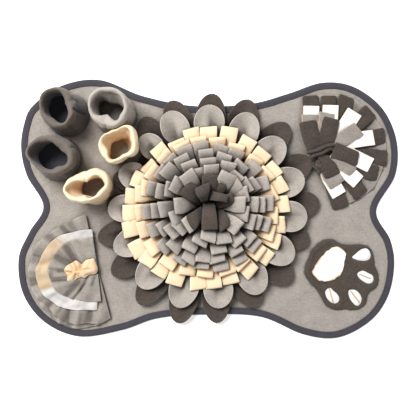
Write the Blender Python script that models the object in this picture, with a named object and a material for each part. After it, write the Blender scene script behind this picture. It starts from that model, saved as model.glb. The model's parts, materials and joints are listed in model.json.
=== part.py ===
"""Bone-shaped fleece snuffle mat, lying flat.

A bound base mat carries five standing cups, a ruffle fan, a flower of petals and loops,
a fringe fan and a paw. Metres, +Z up, the origin in the middle of the underside.
"""

import math

import bmesh
import bpy
from mathutils import Vector

# Cloth and gaps
FLEECE = 0.0020  # one layer of fleece
GAP = 0.0003  # between pieces that lie on each other
LAYER_GAP = 0.0006  # between stacked curved sheets

# Base mat and binding
MAT_TOP = 0.0040
TAPE = 0.0015  # thickness of the binding tape
BINDING_WIDTH = 0.0120
REBATE = TAPE + GAP  # the mat's underside steps up by this much over the tape
BINDING_TOP = MAT_TOP + GAP + TAPE
SEAT = MAT_TOP + GAP  # where pieces rest on the mat
OUTLINE_STEPS = 3

# Outer edge of the binding, clockwise from the upper left lobe: x, y
OUTLINE = (
    (-0.323, 0.191),
    (-0.269, 0.228),
    (-0.199, 0.238),
    (-0.119, 0.208),
    (-0.024, 0.190),
    (0.077, 0.194),
    (0.148, 0.213),
    (0.210, 0.233),
    (0.267, 0.226),
    (0.320, 0.187),
    (0.347, 0.128),
    (0.345, 0.063),
    (0.310, -0.003),
    (0.336, -0.057),
    (0.343, -0.105),
    (0.331, -0.162),
    (0.298, -0.207),
    (0.239, -0.237),
    (0.175, -0.231),
    (0.093, -0.198),
    (-0.016, -0.195),
    (-0.095, -0.202),
    (-0.158, -0.223),
    (-0.237, -0.235),
    (-0.301, -0.209),
    (-0.341, -0.157),
    (-0.3497, -0.092),
    (-0.330, -0.043),
    (-0.304, 0.005),
    (-0.334, 0.061),
    (-0.345, 0.110),
    (-0.340, 0.155),
)

# Cups: open tubes with a rolled rim
CUP_SEGMENTS = 14
CUP_WALL = 0.0032
RIM_ROLL = 0.0085  # the rolled rim, from its outside to the opening
RIM_DEPTH = 0.0200  # how far the roll reaches down
# name, colour, height, base x, base y, base radius, rim x, rim y, and the rim's radius to the
# east, north-east, north, north-west, west, south-west, south and south-east
CUPS = (
    ("cup_dark_back", "dark", 0.076, -0.2555, 0.1765, 0.038, -0.261, 0.174,
     (0.033, 0.034, 0.036, 0.036, 0.031, 0.033, 0.036, 0.037)),
    ("cup_grey", "grey", 0.075, -0.170, 0.172, 0.036, -0.173, 0.175,
     (0.037, 0.0365, 0.0355, 0.038, 0.0345, 0.0325, 0.034, 0.035)),
    ("cup_dark_front", "dark", 0.074, -0.2745, 0.0915, 0.039, -0.271, 0.094,
     (0.045, 0.038, 0.033, 0.039, 0.0445, 0.037, 0.0355, 0.042)),
    ("cup_cream_inner", "cream", 0.070, -0.163, 0.112, 0.021, -0.157, 0.110,
     (0.035, 0.0385, 0.030, 0.029, 0.034, 0.0325, 0.0305, 0.027)),
    ("cup_cream_outer", "cream", 0.070, -0.205, 0.040, 0.031, -0.210, 0.042,
     (0.042, 0.037, 0.027, 0.028, 0.042, 0.040, 0.031, 0.033)),
)

# Flower: where it is, its petals and its rounds of loops
FLOWER_CENTRE = Vector((-0.001, 0.005))
PETAL_ROOT = 0.1200  # radius at which the petals start
GREY_TAB = 0.0030  # the grey petals start this much further in, on the mat, and climb over the dark
PETAL_SLOPE = 0.0850  # rise of a petal along its length
PETAL_CUP = 0.0025  # how far a petal's edges stand above its middle
GREY_LIFT = FLEECE + PETAL_CUP + LAYER_GAP
# Share of the petal's length, share of its full half-width
PETAL_SECTIONS = ((0.0, 0.52), (0.35, 0.86), (0.65, 1.0), (0.87, 0.72), (1.0, 0.24))
# Angle clockwise from the top (degrees), tip radius, half-width
DARK_PETALS = (
    (2, 0.205, 0.027),
    (22.5, 0.208, 0.027),
    (43.5, 0.209, 0.027),
    (67, 0.206, 0.027),
    (89.5, 0.203, 0.026),
    (109.5, 0.196, 0.026),
    (132, 0.205, 0.027),
    (154.5, 0.203, 0.026),
    (175, 0.213, 0.026),
    (195, 0.219, 0.026),
    (214.5, 0.217, 0.026),
    (234.5, 0.213, 0.025),
    (253, 0.208, 0.024),
    (271, 0.184, 0.022),
    (288.5, 0.180, 0.020),
    (305, 0.152, 0.020),
    (322.5, 0.200, 0.023),
    (341, 0.203, 0.025),
)
GREY_PETALS = (
    (1, 0.183, 0.027),
    (26, 0.185, 0.027),
    (49, 0.181, 0.027),
    (73, 0.182, 0.027),
    (97.5, 0.181, 0.027),
    (122, 0.182, 0.027),
    (147, 0.184, 0.027),
    (173, 0.185, 0.026),
    (196, 0.190, 0.026),
    (221, 0.190, 0.026),
    (245, 0.186, 0.025),
    (268.5, 0.180, 0.024),
    (292, 0.172, 0.024),
    (316.5, 0.174, 0.021),
    (337.5, 0.185, 0.025),
)
LOOP_HALF_WIDTH = 0.0140
LOOP_THICK = 0.0045  # a strip folded double
LOOP_BAND = 0.0050  # width of the band that the loops are cut from
LOOP_BAND_TOP = 0.0140
LOOP_ROOM = (0.40, 0.47)  # widest half of a loop at its root and tip, as a share of its spacing
# name, colour, loops, angle of the first loop, band radius, tip radius, tip height
LOOP_ROUNDS = (
    ("loops_cream_outer", "cream", 26, 0.5, 0.112, 0.149, 0.028),
    ("loops_cream_inner", "cream", 22, 7.0, 0.098, 0.132, 0.037),
    ("loops_grey_1", "grey", 19, 13.0, 0.084, 0.116, 0.045),
    ("loops_grey_2", "grey", 17, 18.0, 0.071, 0.101, 0.052),
    ("loops_grey_3", "grey", 13, 25.0, 0.058, 0.086, 0.058),
    ("loops_grey_4", "grey", 12, 5.0, 0.045, 0.073, 0.063),
    ("loops_grey_5", "grey", 7, 33.0, 0.0405, 0.060, 0.067),
    ("loops_dark", "dark", 9, 7.0, 0.014, 0.048, 0.070),
)
INNERMOST_GREY = "loops_grey_5"  # its band touches the round outside it, and they are one piece

# Ruffle fan: sheets about one hub, one above another, folded along the same rays
RUFFLE_HUB = Vector((-0.203, -0.112))
RUFFLE_ROOT = 0.008
RUFFLE_PLEAT = 7.5  # degrees from a trough to the next crest
RUFFLE_WAVE = 0.0050  # height of a crest at the reach below
RUFFLE_REACH = 0.1100
RUFFLE_STEP = FLEECE + LAYER_GAP
# name, colour, layer, first and last angle (degrees from +X, anticlockwise), and rows of angle
# and edge radius
RUFFLES = (
    ("ruffle_bottom", "grey", 0, 127.5, 277.5, (
        (128, 0.098), (142, 0.106), (156, 0.112), (170, 0.118), (184, 0.122),
        (198, 0.122), (222, 0.120), (234, 0.120), (246, 0.115), (258, 0.108), (278, 0.096))),
    ("ruffle_second", "grey", 1, 97.5, 285.0, (
        (98, 0.103), (112, 0.098), (124, 0.101), (136, 0.107), (150, 0.115), (164, 0.121),
        (178, 0.125), (190, 0.125), (202, 0.121), (214, 0.113), (242, 0.105), (285, 0.088))),
    ("ruffle_cream", "cream", 2, 97.5, 270.0, (
        (98, 0.072), (108, 0.075), (122, 0.081), (136, 0.090), (150, 0.097), (164, 0.103),
        (178, 0.108), (190, 0.110), (202, 0.107), (214, 0.099), (242, 0.080), (270, 0.070))),
    ("ruffle_inner", "grey", 3, 97.5, 277.5, (
        (98, 0.061), (114, 0.066), (128, 0.072), (142, 0.077), (156, 0.081), (170, 0.084),
        (184, 0.086), (198, 0.085), (212, 0.080), (228, 0.071), (244, 0.062), (278, 0.056))),
)
ROSETTE_CENTRE = Vector((-0.234, -0.111))
ROSETTE_LENGTH = 0.0560
ROSETTE_WIDTH = 0.0300
ROSETTE_FOLDS = 6
ROSETTE_FOLD_HEIGHT = 0.0060

# Fringe fan: combs of strips about one hub
FRINGE_HUB = Vector((0.222, 0.107))
FRINGE_ROOT = 0.007
FRINGE_SLOPE = 0.040
FRINGE_STEP = FLEECE + LAYER_GAP
STRIP_HALF_WIDTH = 0.0145
FRINGE_KNOT_HEIGHT = 0.0110
BACKING_REACH = 0.104
BACKING_ANGLES = (-88, 124, 14)  # first, last, number of segments
# name, colour, layer, knot height, radius at which the strips part, and rows of angle
# (degrees from +X, anticlockwise) and tip radius
FRINGES = (
    ("fringe_dark", "dark", 1, 0.0, 0.066, (
        (-79, 0.102), (-56, 0.101), (-28, 0.096), (-6, 0.102), (17, 0.102),
        (43, 0.106), (72, 0.102), (92, 0.101), (111, 0.103))),
    ("fringe_white", "white", 2, 0.0, 0.055, (
        (-79, 0.082), (-49, 0.076), (-20, 0.077), (15, 0.081), (57, 0.083),
        (90, 0.082), (113, 0.086))),
    ("fringe_grey", "grey", 3, 0.0, 0.040, (
        (-76, 0.062), (-37, 0.056), (36, 0.064), (93, 0.067), (121, 0.070))),
    ("fringe_top", "dark", 4, FRINGE_KNOT_HEIGHT, 0.026, (
        (-81, 0.041), (-18, 0.052), (87, 0.058), (130, 0.062))),
)

# Paw: under-layer, top with toe holes, pad on top
PAW_BORDER = 0.0080
PAW_EDGE_TOP = 0.0068
PAW_UNDERLAY_TOP = SEAT + 0.0016
PAW_RECESS = PAW_UNDERLAY_TOP + GAP
PAW_TOP = 0.0086
PAW_PAD_TOP = PAW_TOP + GAP + FLEECE
PAW_STEPS = 2
PAW_OUTLINE = (
    (0.211, -0.058),
    (0.229, -0.054),
    (0.243, -0.061),
    (0.275, -0.064),
    (0.302, -0.076),
    (0.308, -0.107),
    (0.313, -0.122),
    (0.304, -0.144),
    (0.292, -0.160),
    (0.275, -0.186),
    (0.253, -0.185),
    (0.232, -0.186),
    (0.212, -0.174),
    (0.197, -0.146),
    (0.179, -0.123),
    (0.181, -0.102),
    (0.197, -0.072),
)
PAD_OUTLINE = (
    (0.237, -0.068),
    (0.253, -0.082),
    (0.249, -0.102),
    (0.243, -0.118),
    (0.224, -0.133),
    (0.204, -0.132),
    (0.189, -0.117),
    (0.201, -0.095),
    (0.220, -0.074),
)
TOE_SIDES = 12
# name, x, y, turn (degrees), half-length, half-width, taper towards the pointed end
TOES = (
    ("toe_first", 0.2840, -0.0845, 187, 0.0165, 0.0108, 0.75),
    ("toe_second", 0.2893, -0.1252, -22, 0.0160, 0.0105, 0.0),
    ("toe_third", 0.2707, -0.1634, -54, 0.0170, 0.0105, 0.0),
    ("toe_fourth", 0.2274, -0.1588, -72, 0.0160, 0.0120, 0.0),
)

COLOURS = {
    "mat": (0.407, 0.366, 0.323),
    "grey": (0.366, 0.323, 0.283),
    "dark": (0.082, 0.064, 0.054),
    "cream": (0.887, 0.716, 0.479),
    "white": (0.930, 0.930, 0.930),
    "binding": (0.073, 0.068, 0.080),
}
FLEECE_ROUGHNESS = 0.95


def clear_scene():
    for item in list(bpy.data.objects):
        bpy.data.objects.remove(item, do_unlink=True)


def cloth_material(name, colour):
    material = bpy.data.materials.new(name)
    material.use_nodes = True
    shader = material.node_tree.nodes["Principled BSDF"]
    shader.inputs["Base Color"].default_value = (*colour, 1.0)
    shader.inputs["Roughness"].default_value = FLEECE_ROUGHNESS
    shader.inputs["Metallic"].default_value = 0.0
    return material


def add_object(name, points, faces, colour):
    """One closed body, its faces pointing out, with a material of its own."""
    mesh = bpy.data.meshes.new(name)
    mesh.from_pydata([tuple(p) for p in points], [], faces)
    shape = bmesh.new()
    shape.from_mesh(mesh)
    bmesh.ops.recalc_face_normals(shape, faces=shape.faces)
    shape.to_mesh(mesh)
    shape.free()
    mesh.materials.append(cloth_material(name, COLOURS[colour]))
    item = bpy.data.objects.new(name, mesh)
    bpy.context.scene.collection.objects.link(item)
    return item


def smooth_closed(points, steps):
    """Points along a smooth closed curve through the given ones."""
    count = len(points)
    curve = []
    for i in range(count):
        before, start, end, after = (Vector(points[(i + k) % count]) for k in (-1, 0, 1, 2))
        linear = end - before
        square = 2 * before - 5 * start + 4 * end - after
        cube = 3 * start - before - 3 * end + after
        for step in range(steps):
            t = step / steps
            curve.append(start + 0.5 * (linear * t + square * t**2 + cube * t**3))
    return curve


def inset(loop, distance):
    """A clockwise loop moved inwards, mitred at its corners."""
    moved = []
    for i, here in enumerate(loop):
        come = (here - loop[i - 1]).normalized()
        go = (loop[(i + 1) % len(loop)] - here).normalized()
        inward = Vector((come.y, -come.x))
        bisector = (inward + Vector((go.y, -go.x))).normalized()
        moved.append(here + bisector * distance / bisector.dot(inward))
    return moved


def raised(loop, height):
    return [Vector((p.x, p.y, height)) for p in loop]


def stacked_solid(name, loops, colour):
    """A body of loops bridged one to the next, capped at its first and last loop."""
    count = len(loops[0])
    points = [p for loop in loops for p in loop]
    faces = [tuple(range(count)), tuple(range(len(points) - count, len(points)))]
    for level in range(len(loops) - 1):
        start = level * count
        for i in range(count):
            j = (i + 1) % count
            faces.append((start + i, start + j, start + count + j, start + count + i))
    return add_object(name, points, faces, colour)


def ring_solid(name, loops, colour):
    """A body of loops bridged one to the next and the last to the first, like a tube's wall."""
    count = len(loops[0])
    levels = len(loops)
    points = [p for loop in loops for p in loop]
    faces = []
    for level in range(levels):
        here = level * count
        above = (level + 1) % levels * count
        for i in range(count):
            j = (i + 1) % count
            faces.append((here + i, here + j, above + j, above + i))
    return add_object(name, points, faces, colour)


def sheet_solid(name, top, thickness, faces, colour, bottom=None):
    """A sheet given by its upper side, its lower side that much below."""
    if bottom is None:
        bottom = [p - Vector((0, 0, thickness)) for p in top]
    count = len(top)
    edges = {}
    for face in faces:
        for i, corner in enumerate(face):
            edges[(corner, face[(i + 1) % len(face)])] = True
    solid = list(faces)
    solid += [tuple(count + corner for corner in reversed(face)) for face in faces]
    solid += [(b, a, count + a, count + b) for a, b in edges if (b, a) not in edges]
    return add_object(name, top + bottom, solid, colour)


def grid_faces(rows, columns):
    """Quads of a grid whose points are stored row by row."""
    return [
        (r * columns + c, r * columns + c + 1, (r + 1) * columns + c + 1, (r + 1) * columns + c)
        for r in range(rows - 1)
        for c in range(columns - 1)
    ]


def polar(centre, angle, radius, height):
    """Angle in degrees from +X, anticlockwise."""
    turn = math.radians(angle)
    return Vector((
        centre.x + radius * math.cos(turn),
        centre.y + radius * math.sin(turn),
        height,
    ))


def clock_angle(angle):
    """Degrees clockwise from the top, as degrees anticlockwise from +X."""
    return 90.0 - angle


def build_base(edge):
    under = inset(edge, BINDING_WIDTH + GAP)
    rim = inset(edge, TAPE + GAP)
    loops = [
        raised(under, 0.0),
        raised(under, REBATE),
        raised(rim, REBATE),
        raised(rim, MAT_TOP),
    ]
    stacked_solid("base_mat", loops, "mat")


def build_binding(edge):
    fold = inset(edge, TAPE)
    hem = inset(edge, BINDING_WIDTH)
    loops = [
        raised(edge, 0.0),
        raised(edge, BINDING_TOP),
        raised(hem, BINDING_TOP),
        raised(hem, BINDING_TOP - TAPE),
        raised(fold, BINDING_TOP - TAPE),
        raised(fold, TAPE),
        raised(hem, TAPE),
        raised(hem, 0.0),
    ]
    ring_solid("edge_binding", loops, "binding")


def cup_radius(radii, angle):
    """The rim's radius in a direction, eased between the eight given ones."""
    place = angle / (2 * math.pi) * len(radii)
    before = int(place) % len(radii)
    after = (before + 1) % len(radii)
    ease = 0.5 - 0.5 * math.cos(math.pi * (place - int(place)))
    return radii[before] * (1 - ease) + radii[after] * ease


def cup_loop(cup, rim_share, inwards, height):
    """A level of a cup's wall, between its round foot and its uneven rim."""
    _, _, _, base_x, base_y, base_radius, rim_x, rim_y, radii = cup
    middle = Vector((base_x, base_y)).lerp(Vector((rim_x, rim_y)), rim_share)
    loop = []
    for i in range(CUP_SEGMENTS):
        angle = 2 * math.pi * i / CUP_SEGMENTS
        radius = base_radius * (1 - rim_share) + cup_radius(radii, angle) * rim_share - inwards
        loop.append(polar(middle, math.degrees(angle), radius, height))
    return loop


def build_cup(cup):
    name, colour, top = cup[:3]
    waist = SEAT + 0.45 * (top - SEAT)
    shelf = top - RIM_DEPTH
    levels = (  # share of the rim's shape, distance inwards, height
        (0.0, 0.0, SEAT),
        (0.45, 0.0010, waist),
        (0.95, 0.0030, shelf),
        (1.0, 0.0, shelf + 0.0020),
        (1.0, 0.0005, top - 0.0030),
        (1.0, 0.0040, top),
        (1.0, RIM_ROLL, top - 0.0040),
        (0.95, RIM_ROLL, shelf),
        (0.45, 0.0010 + CUP_WALL, waist),
        (0.0, CUP_WALL, SEAT),
    )
    ring_solid(name, [cup_loop(cup, *level) for level in levels], colour)


def build_petal(name, colour, angle, tip, half_width, lift):
    """A tear-drop sheet that rises outwards, its edges standing above its middle."""
    direction = clock_angle(angle)
    outward = polar(Vector((0, 0)), direction, 1.0, 0.0)
    across = Vector((-outward.y, outward.x, 0.0))
    centre = FLOWER_CENTRE.to_3d()
    length = tip - PETAL_ROOT
    root_side = across * half_width * PETAL_SECTIONS[0][1]
    top = []
    if lift:
        tab = centre + outward * (PETAL_ROOT - GREY_TAB) + Vector((0, 0, SEAT + FLEECE))
        top = [tab - root_side, tab, tab + root_side]
    for along, width_share in PETAL_SECTIONS:
        radius = PETAL_ROOT + along * length
        height = SEAT + FLEECE + lift + PETAL_SLOPE * along * length
        middle = centre + outward * radius + Vector((0, 0, height))
        side = across * half_width * width_share
        rise = Vector((0, 0, PETAL_CUP * math.sin(math.pi * (0.15 + 0.7 * along))))
        top += [middle - side + rise, middle, middle + side + rise]
    faces = grid_faces(len(top) // 3, 3)
    sheet_solid(name, top, FLEECE, faces, colour)


def loop_profile(root, tip, height):
    """Inner and outer side of a standing loop, as pairs of radius and height, root to tip."""
    start = Vector((root, LOOP_BAND_TOP))
    end = Vector((tip, height))
    run = end - start
    side = Vector((run.y, -run.x)).normalized() * LOOP_THICK / 2
    half_band = Vector((LOOP_BAND / 2, 0))
    return (start - half_band, start + half_band), (end - side, end + side)


def build_loop_round(row):
    """A band on edge around the flower, with a folded loop standing on each of its parts."""
    name, colour, loops, first, root, tip, height = row
    spacing = 360.0 / loops
    profile = loop_profile(root, tip, height)
    points = []
    faces = []
    per_side = 6
    for i in range(loops):
        centre = clock_angle(first + i * spacing)
        for side in (1, -1):
            for (inner, outer), widest in zip(profile, LOOP_ROOM):
                half = min(math.degrees(LOOP_HALF_WIDTH / outer.x), widest * spacing)
                points.append(polar(FLOWER_CENTRE, centre + side * half, inner.x, inner.y))
                points.append(polar(FLOWER_CENTRE, centre + side * half, outer.x, outer.y))
            half = min(math.degrees(LOOP_HALF_WIDTH / profile[0][1].x), LOOP_ROOM[0] * spacing)
            for radius in (profile[0][0].x, profile[0][1].x):
                points.append(polar(FLOWER_CENTRE, centre + side * half, radius, SEAT))
    count = len(points)
    for i in range(loops):
        a = i * 2 * per_side
        b = a + per_side
        c = (b + per_side) % count
        for near, far, has_loop in ((a, b, True), (b, c, False)):
            faces.append((near + 4, near + 5, far + 5, far + 4))
            faces.append((near + 5, near + 1, far + 1, far + 5))
            faces.append((near, near + 4, far + 4, far))
            if not has_loop:
                faces.append((near + 1, near, far, far + 1))
        faces.append((a, a + 2, b + 2, b))
        faces.append((a + 1, b + 1, b + 3, a + 3))
        faces.append((a, a + 1, a + 3, a + 2))
        faces.append((b, b + 2, b + 3, b + 1))
        faces.append((a + 2, a + 3, b + 3, b + 2))
    return add_object(name, points, faces, colour)


def edge_radius(rows, angle):
    """The edge's radius at an angle, read between the rows of its table."""
    for (start, near), (end, far) in zip(rows, rows[1:]):
        if angle <= end:
            return near + (far - near) * max(0.0, (angle - start) / (end - start))
    return rows[-1][1]


def ruffle_height(layer, station, radius):
    """The upper side of a ruffle layer: troughs and crests that grow with the radius."""
    crest = RUFFLE_WAVE * (station % 2) * radius / RUFFLE_REACH
    return SEAT + FLEECE + layer * RUFFLE_STEP + crest


def build_ruffle(row):
    name, colour, layer, first, last, edge = row
    top = []
    for station in range(round(first / RUFFLE_PLEAT), round(last / RUFFLE_PLEAT) + 1):
        angle = station * RUFFLE_PLEAT
        for radius in (RUFFLE_ROOT, edge_radius(edge, angle)):
            height = ruffle_height(layer, station, radius)
            top.append(polar(RUFFLE_HUB, angle, radius, height))
    sheet_solid(name, top, FLEECE, grid_faces(len(top) // 2, 2), colour)


def build_rosette():
    """A short strip gathered into upright folds along its middle."""
    floor = SEAT + FLEECE + 3 * RUFFLE_STEP + LAYER_GAP
    floor += RUFFLE_WAVE * ROSETTE_LENGTH / RUFFLE_REACH
    stations = 2 * ROSETTE_FOLDS + 1
    top = []
    bottom = []
    for i in range(stations):
        along = ROSETTE_LENGTH * (i / (stations - 1) - 0.5)
        crest = ROSETTE_FOLD_HEIGHT if i % 2 else 0.0
        spread = ROSETTE_WIDTH / 2 * (0.85 + 0.15 * math.cos(math.pi * i))
        for share in (-1.0, 0.0, 1.0):
            place = Vector((ROSETTE_CENTRE.x + along, ROSETTE_CENTRE.y + share * spread))
            height = floor + FLEECE + crest * abs(share)
            top.append(Vector((place.x, place.y, height)))
            bottom.append(Vector((place.x, place.y, height - FLEECE)))
    quads = grid_faces(stations, 3)
    faces = [half for a, b, c, d in quads for half in ((a, b, c), (a, c, d))]
    sheet_solid("ruffle_rosette", top, FLEECE, faces, "cream", bottom)


def fringe_height(layer, radius):
    return SEAT + FLEECE + layer * FRINGE_STEP + FRINGE_SLOPE * radius


def build_fringe_backing():
    first, last, segments = BACKING_ANGLES
    top = []
    for i in range(segments + 1):
        angle = first + (last - first) * i / segments
        for radius in (FRINGE_ROOT, BACKING_REACH):
            top.append(polar(FRINGE_HUB, angle, radius, fringe_height(0, radius)))
    sheet_solid("fringe_backing", top, FLEECE, grid_faces(segments + 1, 2), "grey")


def build_fringe(row):
    """A comb: a gathered root about the hub, with a strip at each angle of the table."""
    name, colour, layer, knot, parting, strips = row
    top = []
    bottom = []
    per_side = 4
    for i, (angle, tip) in enumerate(strips):
        before = angle - strips[i - 1][0] if i else 360.0
        after = strips[i + 1][0] - angle if i + 1 < len(strips) else 360.0
        room = 0.46 * min(before, after)
        for side in (-1, 1):
            for radius in (FRINGE_ROOT, parting, (parting + tip) / 2, tip):
                half = min(math.degrees(STRIP_HALF_WIDTH / max(radius, parting)), room)
                low = fringe_height(layer, radius) - FLEECE
                lift = knot if radius == FRINGE_ROOT else 0.0
                place = polar(FRINGE_HUB, angle + side * half, radius, low)
                bottom.append(place)
                top.append(place + Vector((0, 0, FLEECE + lift)))
    faces = []
    sides = 2 * len(strips)
    for side in range(sides - 1):
        a = side * per_side
        b = a + per_side
        faces.append((a, a + 1, b + 1, b))
        if side % 2 == 0:
            faces.append((a + 1, a + 2, b + 2, b + 1))
            faces.append((a + 2, a + 3, b + 3, b + 2))
    sheet_solid(name, top, FLEECE, faces, colour, bottom)


def toe_outline(toe):
    """An oval, drawn in towards one end by the taper."""
    _, x, y, turn, half_length, half_width, taper = toe
    loop = []
    for i in range(TOE_SIDES):
        angle = -2 * math.pi * i / TOE_SIDES
        along = math.cos(angle)
        narrow = 1.0 - taper * (0.5 + 0.5 * along)
        across = math.sin(angle) * narrow
        place = Vector((along * half_length, across * half_width))
        spin = math.radians(turn)
        loop.append(Vector((
            x + place.x * math.cos(spin) - place.y * math.sin(spin),
            y + place.x * math.sin(spin) + place.y * math.cos(spin),
        )))
    return loop


def build_paw():
    outline = smooth_closed(PAW_OUTLINE, PAW_STEPS)
    crown = inset(outline, PAW_BORDER)
    recess = inset(outline, PAW_BORDER + GAP)
    under = inset(outline, PAW_BORDER + 2 * GAP)
    stacked_solid("paw_underlay", [raised(under, SEAT), raised(under, PAW_UNDERLAY_TOP)], "white")
    loops = [
        raised(recess, PAW_RECESS),
        raised(recess, SEAT),
        raised(outline, SEAT),
        raised(outline, PAW_EDGE_TOP),
        raised(crown, PAW_TOP),
    ]
    paw = stacked_solid("paw_top", loops, "dark")
    for toe in TOES:
        hole = toe_outline(toe)
        depth = [raised(hole, PAW_RECESS - 0.0010), raised(hole, PAW_TOP + 0.0010)]
        cutter = stacked_solid(toe[0], depth, "dark")
        cutter.hide_render = True
        cutter.display_type = "WIRE"
        cut = paw.modifiers.new(toe[0], "BOOLEAN")
        cut.operation = "DIFFERENCE"
        cut.object = cutter
    pad = smooth_closed(PAD_OUTLINE, PAW_STEPS)
    loops = [raised(pad, PAW_TOP + GAP), raised(pad, PAW_PAD_TOP)]
    stacked_solid("paw_pad", loops, "white")


def build_flower():
    for i, (angle, tip, half_width) in enumerate(DARK_PETALS):
        build_petal(f"petal_dark_{i + 1:02d}", "dark", angle, tip, half_width, 0.0)
    for i, (angle, tip, half_width) in enumerate(GREY_PETALS):
        build_petal(f"petal_grey_{i + 1:02d}", "grey", angle, tip, half_width, GREY_LIFT)
    rounds = {row[0]: build_loop_round(row) for row in LOOP_ROUNDS}
    inner = rounds[INNERMOST_GREY]
    inner.hide_render = True
    inner.display_type = "WIRE"
    join = rounds["loops_grey_4"].modifiers.new("one_band", "BOOLEAN")
    join.operation = "UNION"
    join.object = inner


def main():
    clear_scene()
    edge = smooth_closed(OUTLINE, OUTLINE_STEPS)
    build_base(edge)
    build_binding(edge)
    for cup in CUPS:
        build_cup(cup)
    build_flower()
    for row in RUFFLES:
        build_ruffle(row)
    build_rosette()
    build_fringe_backing()
    for row in FRINGES:
        build_fringe(row)
    build_paw()


main()
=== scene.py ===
import json
import math

import bmesh
import bpy
import numpy as np
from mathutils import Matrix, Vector
from mathutils.bvhtree import BVHTree
from mathutils.geometry import delaunay_2d_cdt

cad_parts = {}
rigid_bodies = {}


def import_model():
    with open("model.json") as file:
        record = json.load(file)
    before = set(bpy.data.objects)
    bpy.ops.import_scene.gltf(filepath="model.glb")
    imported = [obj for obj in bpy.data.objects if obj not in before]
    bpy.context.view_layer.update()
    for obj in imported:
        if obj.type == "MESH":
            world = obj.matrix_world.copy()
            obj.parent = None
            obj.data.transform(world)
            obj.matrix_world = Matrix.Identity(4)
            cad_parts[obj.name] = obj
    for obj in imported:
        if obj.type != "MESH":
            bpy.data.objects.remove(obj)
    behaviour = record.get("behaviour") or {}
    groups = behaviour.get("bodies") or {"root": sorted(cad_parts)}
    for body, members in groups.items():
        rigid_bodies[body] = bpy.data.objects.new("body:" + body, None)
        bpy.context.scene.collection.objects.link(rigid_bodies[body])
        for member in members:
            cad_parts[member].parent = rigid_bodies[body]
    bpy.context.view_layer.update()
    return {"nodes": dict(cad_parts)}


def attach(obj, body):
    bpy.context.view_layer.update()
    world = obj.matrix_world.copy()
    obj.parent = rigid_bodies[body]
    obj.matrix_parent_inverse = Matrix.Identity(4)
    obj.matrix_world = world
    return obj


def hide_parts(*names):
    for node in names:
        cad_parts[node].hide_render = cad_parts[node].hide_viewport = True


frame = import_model()
mm = 0.001
print("frame loaded:", len(frame["nodes"]), "pieces")


# Shader wires

class Wire:
    # one socket of a shader tree: sums and products of wires add the Math nodes
    def __init__(self, tree, socket=None):
        self.tree = tree
        self.socket = socket

    def node(self, kind, settings=None, inputs=None, output=0):
        made = self.tree.nodes.new(kind)
        for name, value in (settings or {}).items():
            setattr(made, name, value)
        for key, value in (inputs or {}).items():
            if isinstance(value, Wire):
                self.tree.links.new(value.socket, made.inputs[key])
            else:
                made.inputs[key].default_value = value
        return Wire(self.tree, made.outputs[output] if len(made.outputs) else None)

    def maths(self, operation, first, second):
        return self.node("ShaderNodeMath", {"operation": operation}, {0: first, 1: second})

    def __add__(self, other):
        return self.maths("ADD", self, other)

    def __radd__(self, other):
        return self.maths("ADD", other, self)

    def __sub__(self, other):
        return self.maths("SUBTRACT", self, other)

    def __rsub__(self, other):
        return self.maths("SUBTRACT", other, self)

    def __mul__(self, other):
        return self.maths("MULTIPLY", self, other)

    def __rmul__(self, other):
        return self.maths("MULTIPLY", other, self)

    def noise(self, place, scale, detail=2.0, roughness=0.5):
        inputs = {"Vector": place, "Scale": scale, "Detail": detail, "Roughness": roughness}
        return self.node("ShaderNodeTexNoise", None, inputs)

    def blend(self, mask, low, high):
        return self.node("ShaderNodeMix", {"data_type": "RGBA"}, {0: mask, 6: low, 7: high}, 2)

    def bump(self, strength, distance, height):
        inputs = {"Strength": strength, "Distance": distance, "Height": height}
        return self.node("ShaderNodeBump", None, inputs)

    def mark(self, name):
        return self.node("ShaderNodeAttribute", {"attribute_name": name}, None, "Fac")


def newTree(name):
    material = bpy.data.materials.new(name)
    material.use_nodes = True
    material.node_tree.nodes.clear()
    wire = Wire(material.node_tree)
    return material, wire, wire.node("ShaderNodeTexCoord", output="Object")


def finishTree(wire, colour, normal, roughness, sheen):
    shader = wire.node("ShaderNodeBsdfPrincipled", None, {
        "Base Color": colour, "Normal": normal, "Roughness": roughness,
        "Specular IOR Level": 0.15, "Sheen Weight": sheen, "Sheen Roughness": 0.5,
    })
    wire.node("ShaderNodeOutputMaterial", None, {"Surface": shader})


def scaled(colour, share=1.0):
    return tuple(min(1.0, c * share) for c in colour) + (1.0,)


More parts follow.
